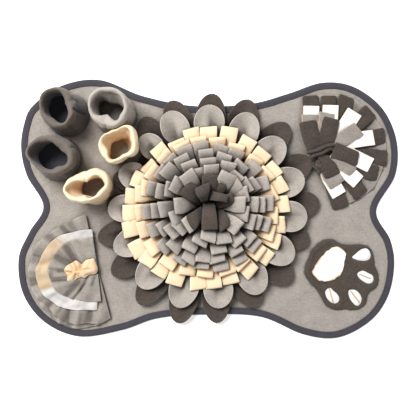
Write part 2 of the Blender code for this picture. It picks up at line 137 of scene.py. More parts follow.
# Brushed fleece: its colour, its painted shade colour for folds, hollows and gaps, how far cloud, nap
# and cut edges (partly a painted highlight) move it, and its pile in metres
greyNap = dict(spread=0.18, cloud=0.9, nap=1.5, edge=0.55, pile=0.0011, sheen=0.08)
fleeceLooks = {
    "mat_fleece": dict(colour=(0.344, 0.310, 0.277), deep=(0.115, 0.100, 0.086), spread=0.18, cloud=1.0,
                       nap=1.6, edge=0.1, pile=0.0012, sheen=0.06),
    "grey_fleece": dict(greyNap, colour=(0.385, 0.346, 0.308), deep=(0.100, 0.085, 0.072)),
    # darker copies of the grey fleece for the ruffle and the fringe: painted shade
    "grey_fleece_shaded_ruffle": dict(greyNap, colour=(0.318, 0.284, 0.250), deep=(0.070, 0.060, 0.052)),
    "grey_fleece_shaded_fringe": dict(greyNap, colour=(0.290, 0.261, 0.232), deep=(0.070, 0.060, 0.052)),
    "dark_fleece": dict(colour=(0.075, 0.059, 0.049), deep=(0.015, 0.012, 0.011), spread=0.30, cloud=0.8,
                        nap=1.6, edge=0.55, pile=0.0011, sheen=0.12),
    # the cups' dark fleece painted lighter than dark_fleece, as light on their tall walls, with a bluish
    # painted shade
    "cup_fleece": dict(colour=(0.142, 0.118, 0.102), deep=(0.072, 0.072, 0.092), spread=0.26, cloud=0.9,
                       nap=1.4, edge=0.45, pile=0.0010, sheen=0.16),
    "cream_fleece": dict(colour=(0.855, 0.668, 0.455), deep=(0.560, 0.345, 0.170), spread=0.07, cloud=0.9,
                         nap=1.3, edge=0.4, pile=0.0008, sheen=0.05),
    "white_fleece": dict(colour=(0.880, 0.877, 0.868), deep=(0.500, 0.480, 0.455), spread=0.05, cloud=0.6,
                         nap=1.6, edge=0.2, pile=0.0008, sheen=0.03),
    # tan painted on the cut edges and slits of the white and grey fleece: painted shade on sides turned from
    # the light
    "shaded_cut_edge": dict(colour=(0.60, 0.435, 0.265), deep=(0.300, 0.190, 0.090), spread=0.20, cloud=0.9,
                     nap=1.4, edge=0.0, pile=0.0006, sheen=0.05),
    "thread": dict(colour=(0.055, 0.052, 0.062), deep=(0.03, 0.03, 0.03), spread=0.15, cloud=1.0,
                   nap=1.0, edge=0.0, pile=0.0001, sheen=0.0),
}
tapeColour = (0.060, 0.057, 0.067)
# the frill's cream and white, painted darker than the cream and white fleece as shade, and its painted shade
# colours
frillLook = dict(cream=(0.580, 0.448, 0.304), white=(0.610, 0.607, 0.600),
                 creamShade=(0.40, 0.27, 0.15, 1.0), whiteShade=(0.42, 0.405, 0.39, 1.0))
edgeHighlight = 1.6  # how much paler a fleece is along its cut edges: partly pale fuzz, partly a painted highlight


def fleece(name, look):
    # soft clouds, the brushed lie of the nap and short pile as bump
    material, wire, place = newTree(name)
    colour, spread = look["colour"], look["spread"]
    cloud = wire.noise(place, 34.0, 3.0, 0.6)
    brushed = wire.node("ShaderNodeMapping", None,
                        {"Vector": place, "Rotation": (0.3, 0.2, 0.7), "Scale": (1.0, 1.7, 1.3)})
    nap = wire.noise(brushed, 190.0, 3.0, 0.62)
    tuft = wire.noise(place, 560.0, 2.0, 0.6)
    mask = 0.5 + (cloud - 0.5) * look["cloud"] + (nap - 0.5) * look["nap"] + (tuft - 0.5) * look["nap"]
    shade = wire.blend(mask, scaled(colour, 1 - spread), scaled(colour, 1 + spread))
    # paler cut edges: partly the cut fleece's pale fuzz, partly a painted highlight where edges catch the
    # light
    shade = wire.blend(wire.mark("edge") * look["edge"], shade, scaled(colour, edgeHighlight))
    # painted shade: darker towards the look's shade colour as far as the mark of how shut in each point is
    shade = wire.blend(wire.mark("deep"), shade, scaled(look["deep"]))
    finishTree(wire, shade, wire.bump(0.7, look["pile"], nap + tuft * 0.55), 0.95, look["sheen"])
    return material


def tape(name):
    # close woven binding tape, its ribs across the tape too fine for the mesh
    material, wire, place = newTree(name)
    cloud = wire.noise(place, 45.0, 3.0)
    rib = wire.node("ShaderNodeTexWave", {"wave_type": "BANDS", "bands_direction": "DIAGONAL"},
                    {"Vector": place, "Scale": 420.0, "Distortion": 1.5, "Detail Scale": 300.0}, 1)
    grain = wire.noise(place, 1200.0)
    mask = 0.5 + (cloud - 0.5) * 1.0 + (grain - 0.5) * 0.7 + (rib - 0.5) * 0.25
    shade = wire.blend(mask, scaled(tapeColour, 0.84), scaled(tapeColour, 1.18))
    finishTree(wire, shade, wire.bump(0.4, 0.0003, rib + grain * 0.6), 0.82, 0.08)
    return material


def frill(name):
    # cream fleece turning white towards the front and back of the fan, with painted shade in its folds
    material, wire, place = newTree(name)
    cream, white = frillLook["cream"], frillLook["white"]
    cloud = wire.noise(place, 60.0, 2.0)
    nap = wire.noise(place, 500.0, 3.0)
    mask = wire.node("ShaderNodeClamp", None, {"Value": wire.mark("pale") + (cloud - 0.5) * 0.3})
    plain = wire.blend(mask, scaled(cream), scaled(white))
    worn = wire.blend(nap, scaled(cream, 0.94), plain)
    foldShade = wire.blend(mask, frillLook["creamShade"], frillLook["whiteShade"])
    # painted shade: towards the shade colours where the mark is set
    shade = wire.blend(wire.mark("deep"), wire.blend(0.75, worn, plain), foldShade)
    finishTree(wire, shade, wire.bump(0.6, 0.0004, nap), 0.95, 0.05)
    return material


materials = {name: fleece(name, look) for name, look in fleeceLooks.items()}
materials["binding_tape"] = tape("binding_tape")
materials["frill"] = frill("frill")
print("materials made:", len(materials))


# Mesh helpers

def inMetres(points):
    return np.array(points) * mm


def unit(vectors):
    return vectors / np.maximum(np.linalg.norm(vectors, axis=-1, keepdims=True), 1e-12)


def ease(value):
    value = np.clip(value, 0.0, 1.0)
    return value * value * (3 - 2 * value)


def drift(x, y, size, seed):
    # slow unevenness, about -1 to 1
    spin = np.random.default_rng(seed)
    full, waves = 6.283, 5
    total = 0.0
    for _ in range(waves):
        turn, wave, start = spin.uniform(0, full), size * spin.uniform(0.6, 1.7), spin.uniform(0, full)
        total = total + np.sin((x * math.cos(turn) + y * math.sin(turn)) * full / wave + start)
    return total / 2.4


def creased(x, y, creases):
    # soft ridges (+) and troughs (-): x and y of both ends, height and half-width, all in mm, and for
    # a fold that lies over, how narrow its right side is
    total = np.zeros_like(x)
    for x0, y0, x1, y1, height, width, *steep in creases:
        runX, runY = (x1 - x0) * mm, (y1 - y0) * mm
        long = math.hypot(runX, runY)
        along = ((x - x0 * mm) * runX + (y - y0 * mm) * runY) / long**2
        off = ((x - x0 * mm) * runY - (y - y0 * mm) * runX) / long
        fade = ease((along + 0.15) / 0.35) * ease((1.15 - along) / 0.35)
        half = np.where(off > 0, width * (steep[0] if steep else 1), width) * mm
        total = total + height * mm * fade * np.exp(-((off / half) ** 2))
    return total


def catmull(before, start, end, after, t):
    return start + 0.5 * ((end - before) * t + (2 * before - 5 * start + 4 * end - after) * t**2
                          + (3 * start - before - 3 * end + after) * t**3)


def smoothClosed(points, steps):
    # a loop of points in mm rounded off, in metres
    points = inMetres(points)
    corners = [np.roll(points, -k, axis=0)[:, None] for k in (-1, 0, 1, 2)]
    return catmull(*corners, (np.arange(steps) / steps)[None, :, None]).reshape(-1, 2)


def smoothOpen(points, count):
    # a curve through the given points, evenly in their own numbering
    padded = np.concatenate([2 * points[:1] - points[1:2], points, 2 * points[-1:] - points[-2:-1]])
    place = np.linspace(0, len(points) - 1, count)
    index = np.minimum(place.astype(int), len(points) - 2)
    t = (place - index).reshape((-1,) + (1,) * (points.ndim - 1))
    return catmull(*(padded[index + k] for k in range(4)), t)


def inset(loop, distance):
    # a clockwise loop moved inwards
    come = unit(loop - np.roll(loop, 1, axis=0))
    go = unit(np.roll(loop, -1, axis=0) - loop)
    inward = np.stack([come[:, 1], -come[:, 0]], axis=1)
    onward = np.stack([go[:, 1], -go[:, 0]], axis=1)
    middle = unit(inward + onward)
    return loop + middle * distance / np.maximum((middle * inward).sum(axis=1, keepdims=True), 0.5)


def insideOf(points, loop):
    x, y = points[:, 0:1], points[:, 1:2]
    ax, ay = loop[:, 0], loop[:, 1]
    bx, by = np.roll(ax, -1), np.roll(ay, -1)
    crosses = (ay > y) != (by > y)
    reach = ax + (y - ay) * (bx - ax) / np.where(by == ay, 1e-12, by - ay)
    return (crosses & (x < reach)).sum(axis=1) % 2 == 1


def edgeDistance(points, loop):
    start = loop[None]
    run = (np.roll(loop, -1, axis=0) - loop)[None]
    share = ((points[:, None] - start) * run).sum(axis=2) / np.maximum((run**2).sum(axis=2), 1e-12)
    near = start + run * np.clip(share, 0, 1)[..., None]
    return np.sqrt(((points[:, None] - near) ** 2).sum(axis=2)).min(axis=1)


def turns(count):
    # this many angles, evenly all the way round
    return np.linspace(0, 2 * math.pi, count, endpoint=False)


def heading(turn):
    return np.array([math.cos(turn), math.sin(turn)])


def leftOf(run):
    return np.array([-run[1], run[0]])


def flatAt(height):
    # an underside that lies flat, for clothPlate
    return lambda x, y, reach: height + 0 * x


def hemmed(share):
    # 0 to 1 over a rounded-down hem
    return np.sqrt(np.clip(1 - (1 - np.clip(share, 0, 1)) ** 2, 0, 1))


def addObject(name, data, location=(0, 0, 0)):
    made = bpy.data.objects.new(name, data)
    made.location = location
    bpy.context.scene.collection.objects.link(made)
    return made


class Heap:
    # sheets gathered for one joined mesh, with the kind of each face and marks on the points
    def __init__(self):
        self.points, self.faces, self.kinds = [], [], []
        self.marks = {"edge": [], "pale": [], "deep": []}
        self.count = 0
        self.area = 0.0

    def add(self, points, faces, kinds, edge, pale=None, deep=None):
        self.points.append(points)
        self.faces.extend([tuple(self.count + corner for corner in face) for face in faces])
        self.kinds.extend(kinds)
        for label, values in (("edge", edge), ("pale", pale), ("deep", deep)):
            self.marks[label].append(np.zeros(len(points)) if values is None else values)
        self.count += len(points)

    def settle(self, node, looks, flat, area=None, name=None):
        # the joined mesh, put in the place of its plain solid
        name = name or node + "_cloth"
        mesh = bpy.data.meshes.new(name)
        mesh.from_pydata(np.vstack(self.points).tolist(), [], self.faces)
        for look in looks:
            mesh.materials.append(materials[look])
        mesh.polygons.foreach_set("material_index", self.kinds)
        mesh.polygons.foreach_set("use_smooth", [True] * len(mesh.polygons))
        for label, values in self.marks.items():
            layer = mesh.attributes.new(label, "FLOAT", "POINT")
            layer.data.foreach_set("value", np.concatenate(values))
        shape = bmesh.new()
        shape.from_mesh(mesh)
        bmesh.ops.recalc_face_normals(shape, faces=shape.faces)
        shape.to_mesh(mesh)
        shape.free()
        piece = addObject(name, mesh)
        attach(piece, "root")
        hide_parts(node)
        print(name, len(mesh.polygons), "faces")


nearEdge = 0.6  # the paler edge tone on a sheet's last row, against 1 on the cut edge itself: partly pale fuzz, partly a painted highlight


def clothSheet(heap, grid, thickness, rimKind=0, wrap=False, rim=1, pale=None, deep=None):
    # a closed layer of cloth about a grid of points, its cut edges rounded over
    rows, columns = grid.shape[:2]
    along = np.gradient(grid, axis=0)
    if wrap:
        across = (np.roll(grid, -1, axis=1) - np.roll(grid, 1, axis=1)) / 2
    else:
        across = np.gradient(grid, axis=1)
    flat, normal = grid.reshape(-1, 3), unit(np.cross(along, across)).reshape(-1, 3)
    size = rows * columns
    index = np.arange(size).reshape(rows, columns)
    lanes = np.arange(columns if wrap else columns - 1)
    nextLane = (lanes + 1) % columns
    quads = np.stack([index[:-1][:, lanes], index[1:][:, lanes], index[1:][:, nextLane],
                      index[:-1][:, nextLane]], axis=-1).reshape(-1, 4)
    faces = quads.tolist() + (quads[:, ::-1] + size).tolist()
    kinds = [0] * len(faces)
    if wrap:
        bounds = [(index[0], -unit(along[0])), (index[-1][::-1], unit(along[-1])[::-1])]
    else:
        ring = np.concatenate([index[0], index[1:, -1], index[-1, -2::-1], index[-2:0:-1, 0]])
        out = np.zeros_like(grid)
        out[0] -= unit(along[0])
        out[-1] += unit(along[-1])
        out[:, 0] -= unit(across[:, 0])
        out[:, -1] += unit(across[:, -1])
        bounds = [(ring, unit(out.reshape(-1, 3)[ring]))]
    points = [flat + normal * thickness / 2, flat - normal * thickness / 2]
    edge = [np.zeros(size), np.zeros(size)]
    total = 2 * size
    for ring, out in bounds:
        edge[0][ring] = edge[1][ring] = nearEdge
        upright = normal[ring]
        out = unit(out - upright * (out * upright).sum(axis=1, keepdims=True))
        levels = [ring]
        for step in range(1, rim + 1):
            turn = math.pi * step / (rim + 1)
            points.append(flat[ring] + (out * math.sin(turn) + upright * math.cos(turn)) * thickness / 2)
            edge.append(np.ones(len(ring)))
            levels.append(np.arange(len(ring)) + total)
            total += len(ring)
        levels.append(ring + size)
        for upper, lower in zip(levels, levels[1:]):
            faces += np.stack([upper, np.roll(upper, -1), np.roll(lower, -1), lower], axis=1).tolist()
            kinds += [rimKind] * len(ring)
    spread = []
    for mark in (pale, deep):
        if mark is not None:
            mark = (mark + 0 * grid[..., 0]).reshape(-1)
            mark = np.concatenate([mark, mark] + [mark[ring] for ring, _ in bounds for _ in range(rim)])
        spread.append(mark)
    heap.add(np.vstack(points), faces, kinds, np.concatenate(edge), *spread)
    corner = grid[1:][:, nextLane] - grid[:-1][:, lanes]
    other = grid[:-1][:, nextLane] - grid[1:][:, lanes]
    heap.area += np.linalg.norm(np.cross(corner, other), axis=-1).sum() / 2


edgeFade = 0.0008  # how far in from a cut edge its paler tone, partly a painted highlight, fades


def clothPlate(heap, outline, spacing, topOf, underOf, holes=(), rings=(0.5, 1.2, 2.4), kindOf=None,
               fine=None, shadeOf=None):
    # a flat-cut layer: topOf and underOf give heights at (x, y, distance from the edge)
    loops = [outline, *holes]
    low, high = outline.min(axis=0), outline.max(axis=0)
    rowGap = spacing * 0.866  # rows of even triangles
    xs, ys = np.meshgrid(np.arange(low[0], high[0], spacing), np.arange(low[1], high[1], rowGap))
    xs[1::2] += spacing / 2
    inner = np.stack([xs.ravel(), ys.ravel()], axis=1)
    inner = inner[insideOf(inner, outline)]
    reach = np.minimum.reduce([edgeDistance(inner, loop) for loop in loops])
    inner = inner[reach > max(rings + (0.3,)) * mm + spacing * 0.4]
    extra = [inset(outline, ring * mm) for ring in rings]
    extra += [inset(hole, -ring * mm) for hole in holes for ring in rings]
    if fine is not None:
        extra.append(fine)
        gap = np.sqrt(((inner[:, None] - fine[None]) ** 2).sum(axis=2)).min(axis=1)
        inner = inner[gap > spacing * 0.6]
    flat = np.vstack([*loops, *extra, inner])
    links, start = [], 0
    for loop in loops:
        links += [(start + i, start + (i + 1) % len(loop)) for i in range(len(loop))]
        start += len(loop)
    made = delaunay_2d_cdt([Vector(p) for p in flat], links, [], 0, 1e-7)
    flat = np.array([tuple(p) for p in made[0]])
    faces = np.array(made[2])
    middle = flat[faces].mean(axis=1)
    keep = insideOf(middle, outline)
    for hole in holes:
        keep &= ~insideOf(middle, hole)
    faces, middle = faces[keep], middle[keep]
    used, back = np.unique(faces, return_inverse=True)
    faces, flat = back.reshape(-1, 3), flat[used]
    x, y = flat.T
    reach = np.minimum.reduce([edgeDistance(flat, loop) for loop in loops])
    points = [np.column_stack([flat, heightOf(x, y, reach)]) for heightOf in (topOf, underOf)]
    sides = dict.fromkeys((a, b) for face in faces.tolist() for a, b in zip(face, face[1:] + face[:1]))
    count = len(flat)
    border = [(b, a, a + count, b + count) for a, b in sides if (b, a) not in sides]
    kinds = [0] * len(faces) if kindOf is None else kindOf(middle).tolist()
    kinds += kinds + [0 if kindOf is None else 1] * len(border)
    heap.add(np.vstack(points), faces.tolist() + (faces[:, ::-1] + count).tolist() + border, kinds,
             np.tile(np.exp(-reach / edgeFade), 2), deep=None if shadeOf is None else np.tile(shadeOf(x, y), 2))
    a, b, c = (flat[faces[:, k]] for k in range(3))
    ab, ac = b - a, c - a
    heap.area += np.abs(ab[:, 0] * ac[:, 1] - ab[:, 1] * ac[:, 0]).sum() / 2


def flatSize(area, ratio):
    # a cut of this area with its sides in the given ratio
    return (math.sqrt(area / ratio), math.sqrt(area * ratio))


# Base mat: one layer of fleece, barely wavy, with the soft creases it was packed with
mat = dict(
    outline=(
        (-323, 191), (-269, 228), (-199, 238), (-119, 208), (-24, 190), (77, 194), (148, 213), (210, 233),
        (267, 226), (320, 187), (347, 128), (345, 63), (310, -3), (336, -57), (343, -105), (331, -162),
        (298, -207), (239, -237), (175, -231), (93, -198), (-16, -195), (-95, -202), (-158, -223),
        (-237, -235), (-301, -209), (-341, -157), (-349.7, -92), (-330, -43), (-304, 5), (-334, 61),
        (-345, 110), (-340, 155),
    ),
    steps=12, edgeInset=0.0030, top=0.0037, under=0.0004, spacing=0.0055, calm=0.016,
    tapeReach=0.0102, tapeSeat=0.0019,
    # two sizes of unevenness, the smaller one along the tape's hem
    wave=0.00030, waveSize=0.110, pucker=0.00022, puckerSize=0.016, puckerLine=0.012, puckerWidth=0.007,
    creases=(
        (-178, -128, -160, -200, 1.4, 9.0), (-150, -118, -138, -196, -1.3, 8.0),
        (-128, -120, -112, -190, 1.3, 9.0), (-196, -132, -186, -196, -1.1, 5.0),
        (-300, -60, -332, -88, 0.8, 6.0), (-298, 30, -262, 10, 1.1, 9.0), (-286, 14, -250, -6, -1.0, 8.0),
        (-240, -6, -190, -24, 1.0, 9.0), (200, -10, 286, -36, 1.1, 12), (214, -34, 300, -50, -0.8, 9.0),
        (120, -190, 176, -150, 1.3, 11), (140, -206, 200, -196, -1.1, 9.0), (300, -12, 330, 30, 0.8, 8.0),
        (120, 178, 160, 120, 1.0, 11), (100, 160, 138, 120, -0.8, 9.0), (-120, 196, -84, 150, 1.1, 9.0),
        (-100, 200, -60, 176, -1.0, 8.0), (176, -208, 214, -192, 1.0, 7.0), (60, -184, 110, -186, -0.8, 8.0),
        (-320, 100, -332, 60, 0.8, 6.0),
    ),
)
outline = smoothClosed(mat["outline"], mat["steps"])


def matTop(x, y, reach):
    calm = ease(reach / mat["calm"])
    wave = drift(x, y, mat["waveSize"], 3) * mat["wave"] * calm
    hem = np.exp(-((reach - mat["puckerLine"]) / mat["puckerWidth"]) ** 2)
    pucker = drift(x, y, mat["puckerSize"], 5) * mat["pucker"] * hem
    return mat["top"] + wave + pucker + creased(x, y, mat["creases"]) * calm


def matUnder(x, y, reach):
    return np.where(reach < mat["tapeReach"], mat["tapeSeat"], mat["under"])


heap = Heap()
clothPlate(heap, inset(outline, mat["edgeInset"]), mat["spacing"], matTop, matUnder, rings=(9.6, 10.4))
heap.settle("base_mat", ["mat_fleece"], (0.694, 0.471), heap.area, "mat_cloth")


# Binding: tape folded round the mat's edge and sewn down along its inner hem
binding = dict(
    thickness=0.0013, joints=(28, 12), lap=0.0011, bulge=0.00022, ripple=0.00010, stitch=0.0034,
    stitchLine=0.0098,
    # distance inwards from the outline and height, mm: under hem, round the edge, upper hem
    section=(
        (11.9, 0.8), (7.0, 0.72), (2.6, 0.7), (1.1, 1.2), (0.66, 2.5), (0.85, 3.9), (1.9, 4.85), (4.2, 5.35),
        (6.8, 5.30), (9.0, 4.95), (10.1, 4.85), (11.2, 4.95), (11.9, 4.80),
    ),
    # places along one stitch's share of the hem, with the thread's radius and height there, mm
    thread=((0.12, 0.10, 5.42), (0.40, 0.34, 5.66), (0.68, 0.34, 5.66), (0.88, 0.10, 5.42)),
)


def addStitches(heap):
    # running stitches, each a short bead of thread along the hem
    line = inset(outline, binding["stitchLine"])
    line = np.vstack([line, line[:1]])
    travel = np.concatenate([[0], np.cumsum(np.linalg.norm(np.diff(line, axis=0), axis=1))])
    count, sides = int(travel[-1] / binding["stitch"]), 6
    around = turns(sides)[:, None]
    shares, radii, heights = np.array(binding["thread"]).T
    last = sides * (len(shares) - 1)
    faces = [tuple(range(sides))[::-1], tuple(range(last, last + sides))]
    faces += [(r + i, r + (i + 1) % sides, r + sides + (i + 1) % sides, r + sides + i)
              for r in range(0, last, sides) for i in range(sides)]
    for k in range(count):
        place = travel[-1] * (k + shares) / count
        centres = np.column_stack([*(np.interp(place, travel, axis) for axis in line.T), heights * mm])
        side = np.array([*leftOf(unit(centres[-1, :2] - centres[0, :2])), 0.0])
        ring = np.cos(around) * side + np.sin(around) * np.array([0, 0, 1.0])
        points = centres[:, None] + ring * radii[:, None, None] * mm
        heap.add(points.reshape(-1, 3), faces, [1] * len(faces), None)


def buildBinding():
    x, y = outline.T
    bulge = binding["bulge"] * drift(x, y, 0.021, 11) + binding["ripple"] * drift(x, y, 0.007, 12)
    rows = []
    for inwards, height in smoothOpen(inMetres(binding["section"]), 30):
        upper = ease((inwards / mm - 1.0) / 4) * ease((11.9 - inwards / mm) / 3) * (height > 0.003)
        lift = upper * bulge
        for joint in binding["joints"]:
            # the tape laps over itself at the two waists
            half = len(outline) / 2
            away = (np.arange(len(outline)) - joint * mat["steps"] + half) % len(outline) - half
            lift = lift + upper * binding["lap"] * ease((away + 1.2) / 0.8) * ease((5.0 - away) / 5.0)
        rows.append(np.column_stack([inset(outline, inwards), height + lift]))
    heap = Heap()
    clothSheet(heap, np.array(rows), binding["thickness"], wrap=True)
    addStitches(heap)
    heap.settle("edge_binding", ["binding_tape", "thread"], flatSize(heap.area, 70.0),
                name="binding_cloth")


buildBinding()


# Cups: fleece tubes with a rolled rim. The tables give radii in mm, from +X anticlockwise every 30 degrees
# or by their angle; dips are angle, depth and width; pleats are angle, width, depth, and from where to where
cups = {
    "cup_dark_back": dict(
        look="cup_fleece", hem=1.2, height=76, rim=(-261, 174), foot=(-258, 173), footRadius=38.5, seed=21,
        outer=(32, 34, 36, 36, 37, 33, 29.5, 31, 33, 35, 36, 34),
        crest=(26, 25, 31, 33, 34, 30, 27, 26, 26, 29, 32, 29),
        mouth={0: 18, 30: 15.5, 60: 23, 75: 28, 90: 29, 120: 29, 150: 25, 180: 22, 210: 20, 240: 18,
               258: 19.5, 275: 23.5, 300: 28.5, 320: 26, 340: 22},
        throat=(24, 21, 25, 27, 26, 22, 19, 18, 20, 24, 28, 27),
        dips=((20, 2.5, 26), (240, 1.5, 24), (110, -1.5, 40)),
        pleats=(
            (-4, 4, 3.0, 0.15, 0.97), (28, 7, 2.4, 0.45, 1.0), (-60, 6, 1.8, 0.2, 0.8),
            (-110, 5, 1.4, 0.1, 0.6),
        ),
    ),
    "cup_grey": dict(
        look="grey_fleece", hem=None, height=75, rim=(-173, 175), foot=(-170, 172), footRadius=36.5, seed=22,
        outer=(38, 36, 37, 35.5, 39, 38.6, 34.5, 33, 33, 37.5, 38.5, 38),
        crest=(33, 32, 34, 32, 35, 34, 32, 29, 28, 30, 33, 31),
        mouth={0: 29, 30: 27, 60: 28, 90: 26, 120: 28, 150: 29, 180: 28, 210: 24, 240: 14, 258: 11, 270: 11.5,
               283: 16, 300: 27, 330: 24},
        throat={0: 24, 30: 17, 60: 11, 90: 9.5, 110: 14, 128: 22, 140: 26, 152: 23, 180: 17, 210: 18, 240: 13,
                255: 12, 278: 14, 300: 25, 320: 28, 340: 27},
        dips=((262, 3.0, 22), (90, 1.5, 30), (330, 1.0, 30)),
        pleats=((-98, 5, 1.8, 0.55, 1.0), (-40, 8, 1.2, 0.1, 0.8), (10, 6, 0.9, 0.1, 0.7)),
    ),
    "cup_dark_front": dict(
        look="cup_fleece", hem=1.2, height=74, rim=(-271, 94), foot=(-273.5, 91.5), footRadius=39, seed=23,
        outer=(42, 40, 35, 33, 38, 42, 44.5, 36.8, 34.5, 36, 39, 42),
        crest=(35, 31, 27, 28.5, 34, 39, 41.5, 33.5, 31, 31.5, 33.5, 37),
        mouth={0: 27, 15: 20, 30: 18, 60: 17.5, 90: 21.5, 120: 25, 150: 34, 180: 38, 210: 30, 240: 26,
               270: 25.5, 300: 24, 330: 30},
        throat=(27, 22, 20, 22, 24, 28, 30, 27, 25, 25, 26, 29),
        dips=((30, 2.0, 26), (180, 2.0, 30), (285, 1.0, 24)),
        pleats=((20, 4, 2.6, 0.4, 1.0), (-30, 6, 1.6, 0.1, 0.7), (-75, 6, 1.4, 0.1, 0.6)),
    ),
    "cup_cream_inner": dict(
        look="cream_fleece", hem=None, height=70, rim=(-157, 110), foot=(-166, 110), footRadius=23.5, seed=24,
        outer={0: 35, 30: 38.5, 45: 40.5, 60: 41, 75: 36, 90: 31, 120: 28.5, 150: 32.5, 180: 34, 210: 33.5,
               240: 34.5, 270: 30.3, 300: 26, 315: 27.6, 330: 33, 345: 36.4},
        crest={0: 30.5, 30: 32.5, 45: 36, 60: 37.5, 75: 32, 90: 28, 120: 25.5, 150: 29.5, 180: 30.5, 210: 27,
               240: 30.5, 270: 26, 300: 21.5, 330: 27},
        mouth={0: 24.5, 30: 26, 45: 31, 59: 34.5, 72: 28, 90: 24, 120: 21.5, 150: 26, 162: 27, 180: 22,
               195: 17.5, 210: 18, 228: 24.5, 244: 27.5, 257: 24, 270: 20.5, 300: 17, 330: 21},
        throat={0: 21, 30: 22, 45: 23, 60: 17, 90: 12.5, 120: 12, 150: 14, 180: 15, 210: 20, 228: 27, 244: 27,
                262: 20, 300: 15, 330: 18},
        dips=((200, 2.5, 24), (300, 1.5, 24), (90, 1.0, 26)),
        pleats=((75, 6, 1.0, 0.2, 0.9), (-50, 6, 1.0, 0.2, 0.9), (225, 6, 1.0, 0.2, 1.0)),
    ),
    "cup_cream_outer": dict(
        look="cream_fleece", hem=None, height=70, rim=(-210, 42), foot=(-205, 40), footRadius=31, seed=25,
        outer={0: 40, 30: 41, 45: 37, 60: 33, 90: 26.5, 120: 24.6, 150: 28.6, 165: 35.5, 180: 40, 195: 44.4,
               210: 43, 225: 40.3, 240: 35, 270: 30.5, 300: 31, 330: 35, 345: 39},
        crest={0: 36, 30: 34.5, 45: 30, 60: 23, 90: 16.5, 120: 15.5, 150: 20, 165: 29, 180: 35.5, 195: 41.5,
               210: 39.5, 225: 35.5, 240: 29.5, 270: 25.5, 300: 28, 330: 29},
        mouth={0: 31, 26: 27.5, 42: 24, 60: 12, 90: 5.5, 120: 6, 150: 10.5, 165: 20, 180: 30.5, 190: 38,
               203: 36.5, 217: 31.5, 228: 28, 257: 18, 282: 24, 305: 24, 328: 22.5, 348: 26},
        throat=(25, 22, 14, 9, 9, 12, 14, 18, 18, 18, 21, 22),
        dips=((100, 4.0, 34), (190, 1.5, 22), (20, 1.0, 26)),
        pleats=((95, 4, 0.9, 0.6, 1.1), (-20, 7, 1.2, 0.1, 0.8), (-100, 7, 1.0, 0.1, 0.8)),
    ),
}
cupRows, cupColumns = 62, 112
cupSeat, cupWall, cupEase = 0.0045, 0.0036, 5.0
cupTurn = turns(cupColumns)


def ringTable(table):
    # radii all the way round, in metres, their corners eased
    if isinstance(table, tuple):
        table = dict(zip(range(0, 360, 30), table))
    radius = np.interp(np.degrees(cupTurn), list(table), list(table.values()), period=360)
    step = 360 / cupColumns
    spread = int(cupEase / step) + 3
    weights = np.exp(-0.5 * (np.arange(-spread, spread + 1) * step / cupEase) ** 2)
    wrapped = np.concatenate([radius[-spread:], radius, radius[:spread]])
    return np.convolve(wrapped, weights / weights.sum(), "valid") * mm


def nearAngle(angle, width):
    # 1 at an angle (degrees) falling to 0 about this far away
    away = (np.degrees(cupTurn) - angle + 180) % 360 - 180
    return np.exp(-((away / width) ** 2))


def cupGrid(cup):
    # the closed wall of a cup, with each row's place among the levels
    height, seat, wall = cup["height"] * mm, cupSeat, cupWall
    rim, foot = inMetres(cup["rim"]), inMetres(cup["foot"])
    footRing = np.full(cupColumns, cup["footRadius"] * mm)
    outer, crest, mouth, throat = (ringTable(cup[key]) for key in ("outer", "crest", "mouth", "throat"))
    dip = sum(depth * mm * nearAngle(angle, width) for angle, depth, width in cup["dips"])
    top = height - dip + 0.0008 * np.sin(3 * cupTurn + cup["seed"])
    # the dark cups' own fleece runs in over the floor inside them, nearly closing it: a dark sheet standing
    # in for shade where the mat would show
    floor = footRing - wall - 0.0004 if cup["hem"] is None else footRing * 0 + cup["hem"] * mm
    # share of the rim's shape, radius of the rim's part, height; up outside, over the roll, down inside
    levels = (
        (0.0, footRing + 0.0016, seat),
        (0.02, footRing + 0.0022, seat + 0.0030),
        (0.06, footRing + 0.0008, seat + 0.0075),
        (0.30, outer, seat + 0.28 * (top - seat)),
        (0.62, outer - 0.0012, seat + 0.52 * (top - seat)),
        (0.90, outer - 0.0026, top - 0.0225),
        (1.0, outer - 0.0008, top - 0.0165),
        (1.0, outer, top - 0.0105),
        (1.0, outer * 0.62 + crest * 0.38, top - 0.0035),
        (1.0, crest, top),
        (1.0, crest * 0.40 + mouth * 0.60, top - 0.0012),
        (1.0, mouth, top - 0.0060),
        (1.0, mouth * 0.85 + throat * 0.15 + 0.0008, top - 0.0125),
        (0.96, mouth * 0.45 + throat * 0.55, top - 0.0230),
        (0.86, throat, top - 0.0360),
        (0.50, np.minimum(throat, outer - 0.006), seat + 0.34 * (top - seat)),
        (0.0, footRing - wall, seat + 0.0060),
        (0.0, floor * 0.5 + (footRing - wall) * 0.5, seat + 0.0022),
        (0.0, floor, seat + 0.0014),
        (0.0, floor, seat),
    )
    rings = []
    for share, radius, z in levels:
        centre = foot * (1 - share) + rim * share
        if 0.0 < share < 1.0:
            inner = wall if radius is throat else 0.0
            radius = footRing * (1 - share) + radius * share - inner * (1 - share)
        rings.append(np.column_stack([centre[0] + radius * np.cos(cupTurn),
                                      centre[1] + radius * np.sin(cupTurn), z + 0 * cupTurn]))
    return smoothOpen(np.array(rings), cupRows), np.linspace(0, len(levels) - 1, cupRows)[:, None]


